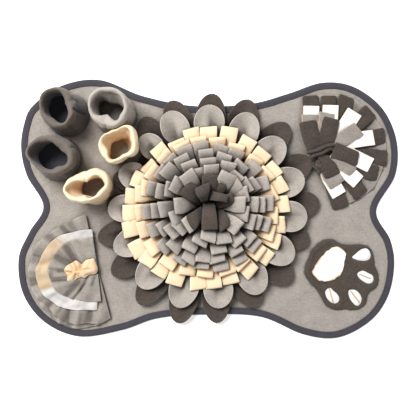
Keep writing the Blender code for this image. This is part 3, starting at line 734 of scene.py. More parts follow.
def buildCup(name, cup):
    grid, place = cupGrid(cup)
    x, y, z = np.moveaxis(grid, -1, 0)
    level = np.clip((z - cupSeat) / (cup["height"] * mm - cupSeat), 0, 1)
    away = np.dstack([np.cos(cupTurn) + 0 * level, np.sin(cupTurn) + 0 * level, 0 * level])
    # unevenness of the cloth, and pleats where the tube was sewn down or buckles
    bump = drift(x + z, y - z, 0.034, cup["seed"])
    fine = drift(x - z, y + z, 0.013, cup["seed"] + 40)
    push = (bump * 0.0008 + fine * 0.00025) * ease((level - 0.02) / 0.2)
    foldShade = 0 * level
    for angle, width, depth, low, high in cup["pleats"]:
        reach = ease((level - low) / 0.12) * ease((high + 0.06 - level) / 0.12) * ease((9.5 - place) / 2.0)
        push = push - depth * mm * nearAngle(angle, width) * reach
        # painted shade along each pleat
        foldShade = np.maximum(foldShade, min(0.24 * depth, 0.75) * nearAngle(angle, width * 0.6) * reach)
    grid = grid + away * push[..., None]
    index = np.arange(cupRows * cupColumns).reshape(cupRows, cupColumns)
    following = np.roll(index, -1, axis=1)
    faces = np.stack([index, following, np.roll(following, -1, axis=0), np.roll(index, -1, axis=0)],
                     axis=-1).reshape(-1, 4)
    # painted highlight along the crest of the rolled rim, carried in the edge mark
    worn = 0.6 * np.exp(-((place - 9.2) / 1.5) ** 2) + 0 * level
    heap = Heap()
    heap.add(grid.reshape(-1, 3), faces.tolist(), [0] * len(faces), worn.ravel(), deep=foldShade.ravel())
    run = np.linalg.norm(np.diff(grid, axis=0), axis=2).mean(axis=1)
    girth = np.linalg.norm(grid - np.roll(grid, 1, axis=1), axis=2).sum(axis=1)
    area = float((run * (girth[1:] + girth[:-1]) / 2).sum()) / 2
    heap.settle(name, [cup["look"]], flatSize(area, 2.2))


for cupName, cup in cups.items():
    buildCup(cupName, cup)


# Flower: petals cut as ovals, pinched where they are sewn in, dark ones below and grey ones above. Each row
# is clockwise from the top (degrees), tip radius and half-width (mm), lean (degrees)
flower = dict(centre=(-0.001, 0.005), petalRoot=0.120, slope=0.085, seat=0.0053, cloth=0.0020)
petals = {
    "dark": dict(look="dark_fleece", lift=0.0, cup=0.0050, seed=301, rows=(
        (2, 205, 27, 0), (22.5, 208, 27, 1), (43.5, 209, 27, -2), (67, 206, 27, 1), (89.5, 203, 26, 2),
        (109.5, 196, 26, 0), (132, 205, 27, -1), (154.5, 203, 26, 2), (175, 213, 26, 0), (195, 219, 26, 1),
        (214.5, 217, 26, -1), (234.5, 213, 25, 1), (253, 208, 24, 0), (271, 184, 22, 0), (288.5, 180, 20, 1),
        (305, 152, 20, 0), (322.5, 200, 23, -1), (341, 203, 25, 0),
    )),
    "grey": dict(look="grey_fleece", lift=0.0092, cup=0.0082, seed=401, rows=(
        (1, 183, 27, 0), (26, 185, 27, 1), (49, 181, 27, -1), (73, 182, 27, 0), (97.5, 181, 27, 2),
        (122, 182, 27, 0), (147, 184, 27, -2), (173, 185, 26, 1), (196, 190, 26, 0), (221, 190, 26, 1),
        (245, 186, 25, 0), (268.5, 180, 24, 1), (292, 172, 24, 0), (316.5, 174, 21, -1), (337.5, 185, 25, 0),
    )),
}


def buildPetal(name, group, row, seed):
    bearing, tip, half, lean = row
    half, cup, cloth = half * mm, group["cup"], flower["cloth"]
    spin = np.random.default_rng(seed)
    outward = heading(math.radians(90 - bearing))
    across = leftOf(outward)
    length = tip * mm - flower["petalRoot"]
    along = np.sin(np.linspace(0, math.pi / 2, 30)) ** 1.15
    side = np.sin(np.linspace(-math.pi / 2, math.pi / 2, 25))
    t, s = np.meshgrid(along, side, indexing="ij")
    tipStart = spin.uniform(0.38, 0.50)
    tipRound = np.sqrt(np.clip(1 - ((t - tipStart) / (1.0025 - tipStart)) ** 2, 0.0, 1.0))
    broad = np.where(t < tipStart, 0.62 + 0.38 * ease(t / 0.45), tipRound)
    wide = s * half * np.maximum(np.minimum(broad, 1.0), 0.05)
    reach = flower["petalRoot"] + t * length
    sway = np.tan(math.radians(lean)) * t * length + 0.0012 * np.sin(3.1 * t + spin.uniform(0, 6)) * t
    x, y = (flower["centre"][axis] + outward[axis] * reach + across[axis] * (wide + sway) for axis in (0, 1))
    base = flower["seat"] + group["lift"] + flower["slope"] * t * length
    # a spoon with raised sides, and a pleat that runs out from the seam, steep on one side, painted shade
    # along the pleat
    offset = spin.uniform(-0.30, 0.30)
    steep = 1 if spin.uniform() < 0.7 else -1
    place = wide / half
    off = (place - offset * (1 - 0.7 * t)) * steep
    fading = ease((1.02 - t) / 0.60)
    pleat = np.exp(-((off / np.where(off > 0, 0.62, 0.20)) ** 2)) * fading
    bowl = cup * np.abs(place) ** 2.2 * (0.20 + 0.80 * ease((t - 0.25) / 0.40))
    curl = cup * 0.55 * ease((t - 0.50) / 0.50)
    puff = cup * spin.uniform(0.75, 1.0) * (fading - pleat) * (0.35 + 0.65 * ease(t / 0.45))
    tilt = cup * spin.uniform(-0.20, 0.20) * place * ease((t - 0.2) / 0.5)
    wave = 0.0007 * drift(x, y, 0.026, seed + 7) * ease(t / 0.3)
    z = np.maximum(base + bowl + curl + puff + tilt + wave, base - 0.0003)
    heap = Heap()
    clothSheet(heap, np.dstack([x, y, z]), cloth, rim=3,
               deep=np.clip(0.72 * pleat * ease((0.98 - t) / 0.55), 0, 0.9))
    flat = (2 * half + 0.002, length + 0.006)
    heap.settle(name, [group["look"]], flat, area=min(heap.area, flat[0] * flat[1]))


for colour, group in petals.items():
    for number, row in enumerate(group["rows"]):
        buildPetal(f"petal_{colour}_{number + 1:02d}", group, row, group["seed"] + number)


# Rounds of loops: strips folded double and sewn in by both ends. Each loop's row is its bearing
# (degrees clockwise from the top), tip radius (mm) and how far it is skewed (degrees)
rounds = {
    "loops_cream_outer": dict(
        look="cream_fleece", root=106, low=0.80, height=29.5, width=28.6, seed=51,
        loops=(
            (0.5, 142, -5), (16, 147, -6), (32, 144, -2), (46, 143, -9), (60.5, 145, -11), (73, 146, -15),
            (88, 146, -7), (103.5, 143, -19), (116.5, 145, -9), (130.5, 148, -8), (146, 147, -18),
            (163, 145, 5), (175.5, 147, -4), (186.5, 150, -14), (203.5, 153, -7), (216, 153, -4),
            (227.5, 154, -15), (239, 160, 4), (254, 158, 7), (265.5, 153, 1), (277.5, 149, -1), (291, 144, 3),
            (304, 134, 11), (319, 142, -2), (334, 131, 5), (347.5, 143, -4),
        ),
    ),
    "loops_cream_inner": dict(
        look="cream_fleece", root=91, low=0.46, height=38, width=28.6, seed=52,
        loops=(
            (8, 123, -12), (25.5, 123, -13), (45.6, 124, -17), (60.5, 127, -17), (78, 124, -20),
            (97.5, 126, -6), (112.5, 128, -8), (132, 130, -5), (148.5, 125, -14), (163, 126, 0),
            (182.5, 126, 6), (197, 128, -8), (215, 131, -1), (234, 132, 2), (250.5, 131, 5), (264.5, 129, -4),
            (280, 131, -6), (286, 123, -10), (302, 123, 7), (318.5, 124, -9), (337, 122, -2), (352, 124, 0),
        ),
    ),
    "loops_grey_1": dict(
        look="grey_fleece", root=76, low=0.38, height=45, width=26, seed=53,
        loops=(
            (14, 111, 10), (28, 112, -11), (49, 114, -10), (68, 116, 8), (87, 116, 6), (107, 115, -2),
            (129.5, 114, -2), (148.5, 116, 7), (167.5, 116, 0), (186, 111, -3), (208, 111, 6), (227, 113, 0),
            (247, 113, 2), (265, 116, 0), (287.5, 112, -2), (306, 109, 0), (321, 111, -4), (337.5, 113, -3),
            (353.5, 114, -5),
        ),
    ),
    "loops_grey_2": dict(
        look="grey_fleece", root=61, low=0.38, height=52, width=26, seed=54,
        loops=(
            (18.5, 97, 0), (39.5, 98, 0), (64, 97, -12), (88.5, 101, 4), (108, 98, -2), (128.5, 100, 3),
            (148, 99, -1), (169.5, 100, -5), (185, 98, 2), (200, 104, 11), (220, 99, 5), (243, 95, -6),
            (265, 99, -1), (287, 94, -7), (312, 102, -1), (331, 100, 4), (358, 100, -4),
        ),
    ),
    "loops_grey_3": dict(
        look="grey_fleece", root=46, low=0.38, height=58, width=26, seed=55,
        loops=(
            (0, 84, -6), (26, 86, -13), (43.5, 79, -3), (61, 84, -3), (88, 89, 5), (109.5, 87, -4),
            (138, 87, -1), (166, 85, 4), (204, 84, 3), (235, 84, -3), (265.5, 85, -8), (293, 80, -13),
            (336, 85, 2),
        ),
    ),
    "loops_grey_4": dict(
        look="grey_fleece", root=31, low=0.38, height=63, width=26, seed=56,
        loops=(
            (5.5, 72, -10), (54, 70, 4), (72.5, 74, 6), (101, 72, -4), (155.5, 71, 18), (193, 68, 15),
            (231.5, 68, -8), (250, 68, 4), (303.5, 74, -7), (342, 68, 3),
        ),
    ),
}
innerGrey = dict(
    root=18, low=0.40, height=67.5, width=27,
    loops=(
        (33.5, 68, -11), (88, 65, 6), (126, 67, 4), (180, 60, 17), (227, 52, 9), (270, 57, -8),
        (326.5, 69, -1),
    ),
)
loopCloth, bandCloth = 0.0018, 0.0022


def bezier(control, count):
    t = np.linspace(0, 1, count)[:, None]
    return ((1 - t) ** 3 * control[0] + 3 * t * (1 - t) ** 2 * control[1]
            + 3 * t**2 * (1 - t) * control[2] + t**3 * control[3])


def loopGrid(root, tip, rootSide, tipSide, height, lift, crown, fold, low, belly, rows=24, columns=7):
    # a strip's middle surface: up from its root, out, over the fold and back; root and tip in plan,
    # the sides half-width vectors across the strip, low how high the shoulder over the root stands
    rise = 0.0125
    span = np.linalg.norm(tip - root)
    ahead = (tip - root) / span
    top = height + fold
    upper = np.array([(0.0, rise), ((0.25 - 0.25 * low) * span, rise + low * (top - rise)),
                      (0.50 * span, top + crown - (0.32 - 0.36 * low) * (top - rise)), (span - fold, top)])
    lower = np.array([(span - fold, height - fold),
                      (0.58 * span, height - fold + crown * 0.5 - (0.36 - 0.36 * low) * (top - rise)),
                      ((0.28 - 0.25 * low) * span + 0.003, rise + 0.70 * low * (height - rise)),
                      (0.0042, rise - 0.001)])
    turn = np.linspace(math.pi / 2, -math.pi / 2, 7)[1:-1]
    arc = np.column_stack([span - fold + fold * np.cos(turn), height + fold * np.sin(turn)])
    line = np.vstack([bezier(upper, rows // 2 - 1), arc, bezier(lower, rows // 2 - 3)])
    share = np.clip(line[:, :1] / span, 0, 1)
    side = np.linspace(-1, 1, columns)[None, :, None]
    middle = np.column_stack([root + ahead * line[:, :1], line[:, 1] + lift * share[:, 0]])
    half = rootSide * (1 - ease(share * 1.3)) + tipSide * ease(share * 1.3)
    grid = middle[:, None, :] + half[:, None, :] * side
    grid[..., 2] -= belly * (side[..., 0] ** 2) * ease(share * 1.5)
    return grid


def rootBand(heap, radius, count, heights):
    # the band that holds the roots of a round, standing on the mat
    turn = turns(count)
    x, y = flower["centre"][0] + radius * np.cos(turn), flower["centre"][1] + radius * np.sin(turn)
    rows = [np.column_stack([x, y, 0 * x + z * mm]) for z in heights]
    # the band is painted almost wholly in shade
    clothSheet(heap, np.array(rows), bandCloth, wrap=True, deep=0.95)


def addLoop(heap, part, bearing, reach, skew, spin):
    large = part["root"] > 80
    width = (part["width"] + spin.uniform(-1.0, 1.0)) * mm
    height = (part["height"] + spin.uniform(-1.6, 1.6)) * mm
    roll, lift = math.radians(spin.uniform(-12, 12)), spin.uniform(-0.6, 0.8) * mm
    crown, belly = spin.uniform(0.0004, 0.0016), spin.uniform(0.0006, 0.0022)
    # the root is gathered where its neighbours leave it less room
    around = [abs(bearing - other) for other, *_ in part["loops"]]
    gap = sorted(min(turn, 360 - turn) for turn in around)[1]
    room = math.radians(max(gap, 9.0)) * part["root"] * mm * (0.49 if large else 0.42)
    rootHalf = min(width / 2, max(0.0065, room))
    turn = math.radians(90 - bearing)
    outward, ahead = heading(turn), heading(turn - math.radians(skew))
    inner, tip = (np.array(flower["centre"]) + outward * radius * mm for radius in (part["root"], reach))
    root = (tip - ahead * (reach - part["root"]) * mm * 1.02) * 0.55 + inner * 0.45
    tipSide = np.array([*(leftOf(ahead) * math.cos(roll)), math.sin(roll)]) * width / 2
    rootSide = np.array([*leftOf(outward), 0.0]) * rootHalf
    grid = loopGrid(root, tip, rootSide, tipSide, height, lift, crown, 0.0030 if large else 0.0024,
                    part["low"], belly)
    rumple = [drift(grid[..., 1], grid[..., 2], 0.017, int(bearing * 7) + k) for k in range(3)]
    clothSheet(heap, grid + 0.0004 * np.dstack(rumple), loopCloth)


def buildRound(name, parts):
    spin = np.random.default_rng(parts[0]["seed"])
    heap = Heap()
    for part in parts:
        for bearing, reach, skew in part["loops"]:
            addLoop(heap, part, bearing, reach, skew, spin)
        rootBand(heap, part["root"] * mm, 96, (5.4, 8.0, 10.5, 13.0))
    cut = 2 * (parts[0]["loops"][0][1] - parts[0]["root"]) * mm * 1.55 + 0.018
    heap.settle(name, [parts[0]["look"]], (heap.area / cut, cut))


for roundName, ring in rounds.items():
    buildRound(roundName, [ring, innerGrey] if roundName == "loops_grey_4" else [ring])


# The dark loops in the middle, each placed by its root and tip from the flower's centre (mm), with its
# width at both, the tip's height, the roll (degrees), how far it is crowned, its shoulder and its turn
heart = dict(
    seed=61, cloth=0.0021, cut=0.12,
    loops=(
        (3, 12, 5, 54, 20, 27, 61.5, 3, 2.0, 0.70, 0), (-8, 8, -40, 33, 17, 29, 61, -6, 3.0, 0.66, 0),
        (-7, -5, -35, -35, 13, 26, 64, 8, 2.0, 0.80, -4), (2.5, 6, 3.5, -40, 19, 26, 69.5, 2, 2.5, 0.97, 0),
        (20, -4, 31, -38, 11, 21, 64, -8, 2.0, 0.80, 14), (13, 2, 45, 14, 15, 19, 60, 10, 1.5, 0.70, 0),
        (12, 10, 27, 40, 14, 16, 57, 0, 1.0, 0.70, 0), (-5, 8, -9.7, 35, 10, 25, 73.5, 6, 1.5, 1.0, 14),
        (3, 19, 33, 13, 14, 12, 76.5, -8, 1.0, 1.0, 6),
    ),
)


def buildHeart():
    spin = np.random.default_rng(heart["seed"])
    heap = Heap()
    for x0, y0, x1, y1, rootWide, tipWide, height, roll, crown, low, turn in heart["loops"]:
        root, tip = (np.array(flower["centre"]) + inMetres(spot) for spot in ((x0, y0), (x1, y1)))
        ahead = unit(tip - root)
        roll, turn = math.radians(roll), math.radians(turn)
        across = leftOf(ahead)
        swung = (across * math.cos(turn) - ahead * math.sin(turn)) * math.cos(roll)
        grid = loopGrid(root, tip, np.array([*across, 0.0]) * rootWide / 2 * mm,
                        np.array([*swung, math.sin(roll)]) * tipWide / 2 * mm, height * mm, 0.0, crown * mm,
                        0.0025, low, 0.0034, rows=28, columns=9)
        rumple = [drift(grid[..., 0], grid[..., 2], 0.02, spin.integers(900) + k) for k in range(3)]
        clothSheet(heap, grid + 0.0003 * np.dstack(rumple), heart["cloth"])
    rootBand(heap, 0.014, 48, (5.4, 8.0, 13.0))
    heap.settle("loops_dark", ["dark_fleece"], (heap.area / heart["cut"], heart["cut"]))


buildHeart()


# Ruffle fan: layers about one hub, gathered along the hub and loose at the rim. Each layer runs from its
# first to its last angle; edge is angle and reach (mm), then how much painted shade it starts with
fan = dict(
    hub=(-203, -112), seat=0.0055, cloth=0.0020, step=0.0026, gap=0.00235, gather=0.007,
    layers=(
        dict(
            name="ruffle_bottom", look="grey_fleece_shaded_ruffle", wave=4.6, waves=19, shadeBase=0.22,
            first=127.5, last=277.5,
            edge=(
                (128, 98), (142, 106), (156, 112), (170, 118), (184, 122), (198, 122), (222, 120), (234, 120),
                (246, 115), (258, 108), (278, 96),
            ),
            creases=(
                (-262, -178, -276, -212, 3.8, 5.2, 0.6), (-236, -184, -238, -216, 4.0, 4.4),
                (-206, -186, -200, -210, 3.2, 4.4), (-250, -190, -254, -214, -1.8, 3.7),
                (-218, -190, -220, -214, -2.0, 3.7), (-330, -124, -306, -120, 2.0, 5.9),
                (-322, -84, -300, -86, 1.8, 5.2), (-318, -160, -296, -148, 2.0, 5.9),
            ),
        ),
        dict(
            name="ruffle_second", look="grey_fleece_shaded_ruffle", wave=3.8, waves=16, shadeBase=0.20,
            first=102, last=285.0,
            edge=(
                (102, 104), (112, 101), (120, 100), (128, 104), (136, 107), (150, 115), (164, 121),
                (178, 125), (190, 125), (202, 121), (214, 113), (228, 110), (242, 108), (262, 98), (273, 96),
                (285, 90),
            ),
            creases=(
                (-271, -176, -286, -202, 4.2, 6.7, 0.7), (-239, -182, -239, -212, 5.8, 6.7, 0.8),
                (-196, -178, -196, -206, 4.5, 6.7), (-255, -178, -259, -210, -3.0, 4.4),
                (-216, -180, -218, -208, -3.5, 5.2), (-234, -6, -226, -44, 4.8, 8.9, 0.7),
                (-216, -20, -210, -48, -2.0, 3.7), (-272, -28, -250, -52, -2.5, 5.9),
                (-292, -34, -266, -62, 4.5, 5.9, 0.35), (-312, -62, -292, -80, 2.2, 5.9),
                (-326, -82, -304, -88, -2.0, 4.4), (-330, -112, -306, -110, 3.2, 6.7),
                (-332, -142, -306, -132, -2.0, 4.4), (-316, -164, -296, -152, 3.0, 5.9),
                (-300, -186, -282, -168, -2.0, 4.4),
            ),
        ),
        dict(
            name="ruffle_cream", look="frill", wave=2.0, waves=15, shadeBase=0.04,
            first=97.5, last=270.0,
            edge=(
                (98, 74), (108, 76), (122, 82), (136, 91), (150, 98), (164, 104), (178, 109), (190, 111),
                (202, 108), (214, 100), (228, 90), (242, 82), (254, 74), (262, 71), (270, 71),
            ),
            creases=(
                (-262, -44, -250, -62, 2.2, 7), (-236, -38, -230, -58, -1.2, 7),
                (-306, -84, -284, -84, 2.6, 8), (-310, -99, -282, -93, -2.6, 4.5),
                (-314, -118, -284, -114, 2.6, 9), (-312, -146, -280, -139, -2.4, 3.0, 2.2),
                (-300, -160, -278, -146, 2.4, 7), (-284, -156, -254, -172, -1.8, 4.0),
                (-246, -188, -242, -168, 3.0, 8), (-226, -190, -226, -168, -2.0, 7),
                (-208, -188, -208, -168, 2.2, 6), (-206, -60, -203, -96, -1.6, 5),
            ),
        ),
        dict(
            name="ruffle_inner", look="grey_fleece_shaded_ruffle", wave=1.4, waves=11, shadeBase=0.10,
            first=97.5, last=277.5,
            edge=(
                (98, 61), (114, 63), (124, 67), (134, 73), (146, 78), (158, 82), (170, 85), (184, 87),
                (198, 85), (212, 78), (224, 70), (236, 63), (250, 58), (278, 56),
            ),
            creases=(
                (-251, -54, -227, -98, 5.6, 9, 0.30), (-262, -64, -238, -100, -2.6, 6),
                (-274, -68, -246, -98, 5.0, 8, 0.28), (-281, -84, -250, -102, -2.8, 7),
                (-292, -104, -262, -108, 2.4, 7, 0.5), (-276, -113, -256, -112, -2.6, 3.5),
                (-282, -122, -252, -120, 3.6, 5, 0.6), (-288, -131, -252, -129, -2.4, 3.0),
                (-278, -142, -244, -131, 4.2, 7), (-262, -160, -232, -130, -3.4, 5),
                (-252, -166, -222, -130, 5.4, 8, 0.30), (-236, -152, -220, -124, -2.0, 2.6),
                (-220, -156, -212, -126, 3.0, 7), (-212, -142, -206, -120, -1.6, 3.0),
                (-218, -56, -212, -90, 2.0, 10),
            ),
        ),
    ),
)
fanHub = inMetres(fan["hub"])


def fanEdge(layer, angle):
    # how far a layer reaches from the hub at an angle (degrees)
    table = np.array(layer["edge"])
    return np.interp(angle, table[:, 0], table[:, 1]) * mm


def rimWave(number, x, y):
    # -1 to 1 along the loose rim of one layer, nothing nearer the hub
    layer = fan["layers"][number]
    angle = np.arctan2(y - fanHub[1], x - fanHub[0]) % (2 * math.pi)
    share = np.hypot(x - fanHub[0], y - fanHub[1]) / fanEdge(layer, np.degrees(angle))
    wavy = angle * layer["waves"]
    wave = 0.7 * np.sin(wavy + number * 2) + 0.3 * np.sin(wavy * 1.63 + number)
    return wave * ease((share - 0.66) / 0.30) * ease((1.16 - share) / 0.1)


def layerHeight(number, x, y):
    # the middle of one layer: it lies on the creases of every layer below
    height = fan["seat"] + 0 * x
    loose = ease((np.hypot(x - fanHub[0], y - fanHub[1]) - 0.012) / 0.05)
    for below in range(number + 1):
        layer = fan["layers"][below]
        fold = creased(x, y, layer["creases"])
        if below < number:
            height = height + fan["step"]
            fold = fold * 0.30
        else:
            fold = fold + layer["wave"] * np.maximum(rimWave(number, x, y), 0) * mm
            fold = fold + (0.0020 * loose if number else 0.0)
        own = 0.0009 * drift(x, y, 0.034, 71 + below) * loose
        height = height + np.maximum(fold, -0.0006) + np.maximum(own, -0.0004)
    return np.maximum(height, layerHeight(number - 1, x, y) + fan["gap"]) if number else height


def buildFanLayer(number, layer):
    angles = np.linspace(layer["first"], layer["last"], int((layer["last"] - layer["first"]) / 1.2) + 1)
    shares = np.concatenate([np.linspace(0, 0.92, 34), [0.95, 0.975, 1.0]])[None]
    edge = np.pad(fanEdge(layer, angles), 3, mode="edge")
    edge = np.convolve(edge, np.array([1, 2, 3, 4, 3, 2, 1]) / 16, "valid")
    turn = np.radians(angles)[:, None]
    edge = edge[:, None] + 0.0009 * np.sin(turn * 9 + number * 2)
    radius = fan["gather"] + (edge - fan["gather"]) * shares
    x, y = fanHub[0] + radius * np.cos(turn), fanHub[1] + radius * np.sin(turn)
    z = layerHeight(number, x, y) - 0.0003 * ease((shares - 0.9) / 0.1)
    pale = ease((150 - angles) / 24) + ease((angles - 197) / 6) if layer["look"] == "frill" else 0 * angles
    # painted shade: in the troughs, lifted on the ridges, darker in the hollows of the rim's waves
    foldShade = creased(x, y, [crease for crease in layer["creases"] if crease[4] < 0])
    ridges = creased(x, y, [crease for crease in layer["creases"] if crease[4] > 0])
    shadeBase = np.clip(layer["shadeBase"] - ridges / 0.0070 - 0.45 * rimWave(number, x, y), 0, 0.75)
    deep = np.maximum(np.clip(-foldShade / 0.0028, 0, 0.72), shadeBase)
    heap = Heap()
    clothSheet(heap, np.dstack([x, y, z]), fan["cloth"], rim=3, pale=pale[:, None], deep=deep)
    wide = 1.62 * max(reach for _, reach in layer["edge"]) * mm
    below = fan["layers"][number - 1]["name"] + "_cloth" if number else "mat_cloth"
    heap.settle(layer["name"], [layer["look"]], (wide, heap.area / wide))


for number, layer in enumerate(fan["layers"]):
    buildFanLayer(number, layer)


# Rosette: a short strip gathered along its middle, its loose halves puffed into lobes
rosette = dict(
    outline=(
        (-262, -111), (-257, -103), (-250, -99), (-246, -97), (-241, -93.5), (-236, -95.5), (-231, -100),
        (-228, -98.5), (-222, -92.5), (-215, -91), (-208, -89.5), (-204.5, -97), (-201, -108), (-203.5, -117),
        (-214, -119), (-219, -121), (-224, -125.5), (-232, -124), (-240, -127.5), (-246, -131.5),
        (-256, -131), (-256.5, -122),
    ),
    # pinched lines between the lobes, mm, as for the other creases
    creases=(
        (-262, -113, -244, -115, -5.0, 1.8), (-251, -100, -243, -110, -3.6, 1.6),
        (-244, -96, -236, -110, -4.6, 1.9), (-231, -97, -231, -109, -5.0, 2.4),
        (-243, -112, -226, -110, -4.0, 1.8), (-226, -109, -214, -107.5, -3.6, 1.5),
        (-243, -129, -239, -115, -4.4, 1.8), (-256, -120, -246, -117, -3.0, 1.5),
        (-236, -126, -234, -114, -2.6, 1.5), (-224, -120, -206, -118, -2.0, 1.5),
        (-212, -92, -218, -106, -1.6, 1.6),
    ),
    seat=0.0155, dome=0.0069, puff=0.0042, wide=0.030,
)


def lobeTop(x, y, reach):
    dome = rosette["dome"] * (1 - np.exp(-reach / rosette["puff"]))
    pinch = creased(x, y, rosette["creases"]) * ease(reach / 0.0015)
    return rosette["seat"] + np.maximum(0.0024 + dome + pinch + 0.0005 * drift(x, y, 0.012, 77), 0.0022)


def lobeShade(x, y):
    # painted shade in the pinched lines between the lobes, and a little over the whole rosette
    return np.clip(0.30 - creased(x, y, rosette["creases"]) / 0.0065, 0, 0.85)


heap = Heap()
clothPlate(heap, smoothClosed(rosette["outline"], 3), 0.0019, lobeTop, flatAt(rosette["seat"]),
           rings=(0.4, 0.9, 1.6), shadeOf=lobeShade)
heap.settle("ruffle_rosette", ["cream_fleece"], (rosette["wide"], heap.area * 1.3 / rosette["wide"]))


# Fringe fan: strips on a soft backing, tied in at a knot. Strips are root x, y, tip x, y, root width,
# tip width, skew of the tip's cut (mm) and twist (degrees), read where they lie at 10 mm up. Each comb has
# its base height, its rise outwards, how far the strips' sides drop and corners round off (mm), and how much
# painted shade lies on it
fringe = dict(
    hub=(222, 107), cloth=0.0019, wide=0.030,
    readFrom=0.990,  # from the camera to the height at which the places were read
    backing=dict(first=-84, last=112, reach=0.104, cloth=0.0018),
    layers={
        "fringe_dark": dict(
            look="dark_fleece", cut="dark_fleece", base=7.2, slope=0.03, drop=1.6, corner=3.6, deep=0.16,
            strips=(
                (214, 78, 243, 3, 20, 29, 2, 2), (224, 98, 281, 25, 20, 28, -1, -3),
                (238, 80, 310, 66, 22, 27, 1, 3), (236, 99, 327, 93, 22, 27, 0, -2),
                (236, 119, 323, 135, 22, 27, 2, 3), (228, 112, 298, 180, 20, 28, 1, -3),
                (230, 116, 254, 206, 18, 27, 2, 2), (218, 116, 221, 207, 20, 27, -1, -2),
                (193, 116, 187, 207, 20, 28, 0, 2),
            ),
        ),
        "fringe_white": dict(
            look="white_fleece", cut="shaded_cut_edge", base=10.4, slope=0.03, drop=0.5, corner=1.0, deep=0.0,
            strips=(
                (204, 86, 240, 25.5, 14, 27, 0, 4), (222, 95, 275, 49.5, 18, 27, 0, -4),
                (242, 109, 297.5, 80, 20, 27, 0, 4), (238, 119, 303, 131, 20, 27, 0, -4),
                (226, 108, 268.5, 178, 18, 28, 0, 4), (222, 112, 224.5, 190, 20, 28, 0, -3),
                (191, 112, 189, 188.5, 20, 28, 1, 3), (250, 126, 265, 109, 5, 8, 2, 10),
            ),
        ),
        "fringe_grey": dict(
            look="grey_fleece_shaded_fringe", cut="shaded_cut_edge", base=13.6, slope=0.035, drop=1.0, corner=1.2, deep=0.0,
            strips=(
                (210, 82, 237, 44.5, 18, 30, 1, 3), (226, 94, 265, 68, 12, 18, 3, -4),
                (231, 117, 276, 147, 20, 27, -2, 4), (214, 112, 218, 175.5, 18, 27, 3, -3),
                (192, 112, 186.5, 172.5, 20, 29, 3, 4),
            ),
        ),
        "fringe_top": dict(
            look="dark_fleece", cut="dark_fleece", base=16.6, slope=0.055, drop=2.2, corner=4.2, deep=0.16,
            strips=(
                (212, 92, 229, 61, 18, 28, 2, -4), (212, 98, 209, 68, 20, 21, -4, 5),
                (230, 108, 274, 91.5, 28, 25, -3, 6), (214, 110, 226, 166, 24, 29, 1, -5),
                (195, 106, 182, 160.5, 24, 31, 1, 6),
            ),
        ),
    },
    # the knot's ridges, side by side, and a tab folded over below them: both ends, width, tallness and top
    knot=((181, 102, 230, 119, 6.6, 7.0, 26.0), (187, 94, 226, 111, 6.0, 6.5, 24.5),
          (191, 84, 204, 66, 6.0, 4.5, 19.5), (199, 88, 211, 70, 6.5, 4.5, 22.0)),
)
fringeHub = inMetres(fringe["hub"])


def asSeen(x, y, z):
    # places read from above as if 10 mm up, moved to where they look the same at their own height
    shift = (1 - z) / fringe["readFrom"]
    return np.dstack([x * shift, y * shift, z])


def stripGrid(strip, layer, lift, seed, rows=30, columns=13):
    # the middle surface of a strip lying out from the knot, its sides turned down
    x0, y0, x1, y1, wide0, wide1, skew, twist = strip
    drop, corner = layer["drop"] * mm, layer["corner"] * mm
    t = (1 - np.linspace(1, 0, rows) ** 1.6)[:, None]
    s = np.sin(np.linspace(-1, 1, columns) * 1.45)[None] / math.sin(1.45)
    run = inMetres((x1 - x0, y1 - y0))
    ahead = unit(run)
    across = leftOf(ahead)
    bow = np.random.default_rng(seed).uniform(-1.3, 1.3) * mm * np.sin(math.pi * t)
    half = (wide0 + (wide1 - wide0) * ease(t / 0.55)) / 2 * mm
    left = np.clip((t - 1) * np.linalg.norm(run) / corner + 1, 0, 1)
    half = half - corner * (1 - np.sqrt(np.clip(1 - left**2, 0, 1)))
    tilt = skew * mm / 2 * s * ease(t * 2 - 1)
    x, y = (start * mm + run[axis] * t + across[axis] * (half * s + bow) + ahead[axis] * tilt
            for axis, start in enumerate((x0, y0)))
    z = layer["base"] * mm + layer["slope"] * np.hypot(x - fringeHub[0], y - fringeHub[1]) + lift
    z = z + math.radians(twist) * half * s * ease((t - 0.35) / 0.5) * 0.8
    z = z + 0.0007 * drift(x, y, 0.022, seed + 3) + 0.0010 * np.sin(math.pi * t)
    z = z - drop * (np.abs(s) ** 4 * (0.4 + 0.6 * t) + 0.5 * ease((t - 0.90) / 0.10))
    return asSeen(x, y, z)


def addKnot(heap):
    t = np.linspace(0, 1, 30)[:, None]
    turn = np.linspace(-1.45, 1.45, 13)[None]
    for x0, y0, x1, y1, wide, tall, top in fringe["knot"]:
        ahead = unit(np.array((x1 - x0, y1 - y0), float))
        swell = 0.72 + 0.28 * np.sin(math.pi * t) + 0.10 * np.sin(t * 19 + x0)
        off = wide / 2 * np.sin(turn) * swell + 0.8 * np.sin(t * 9 + y0)
        x, y = x0 + (x1 - x0) * t - ahead[1] * off, y0 + (y1 - y0) * t + ahead[0] * off
        z = top - tall + tall * np.cos(turn) * swell + 0.5 * np.sin(t * 13 + y0)
        # painted shade down the sides of each ridge
        deep = 0.85 * ease((np.abs(turn) - 0.75) / 0.6)
        clothSheet(heap, asSeen(x * mm, y * mm, z * mm), 0.0020, 1, rim=3, deep=deep)


def buildFringe(name, layer, seed):
    heap = Heap()
    for number, strip in enumerate(layer["strips"]):
        grid = stripGrid(strip, layer, 0.0004 * (number % 3), seed + number * 9)
        clothSheet(heap, grid, fringe["cloth"], 1, rim=3, deep=layer["deep"])
    if name == "fringe_top":
        addKnot(heap)
    heap.settle(name, [layer["look"], layer["cut"]], (fringe["wide"], heap.area / fringe["wide"]))


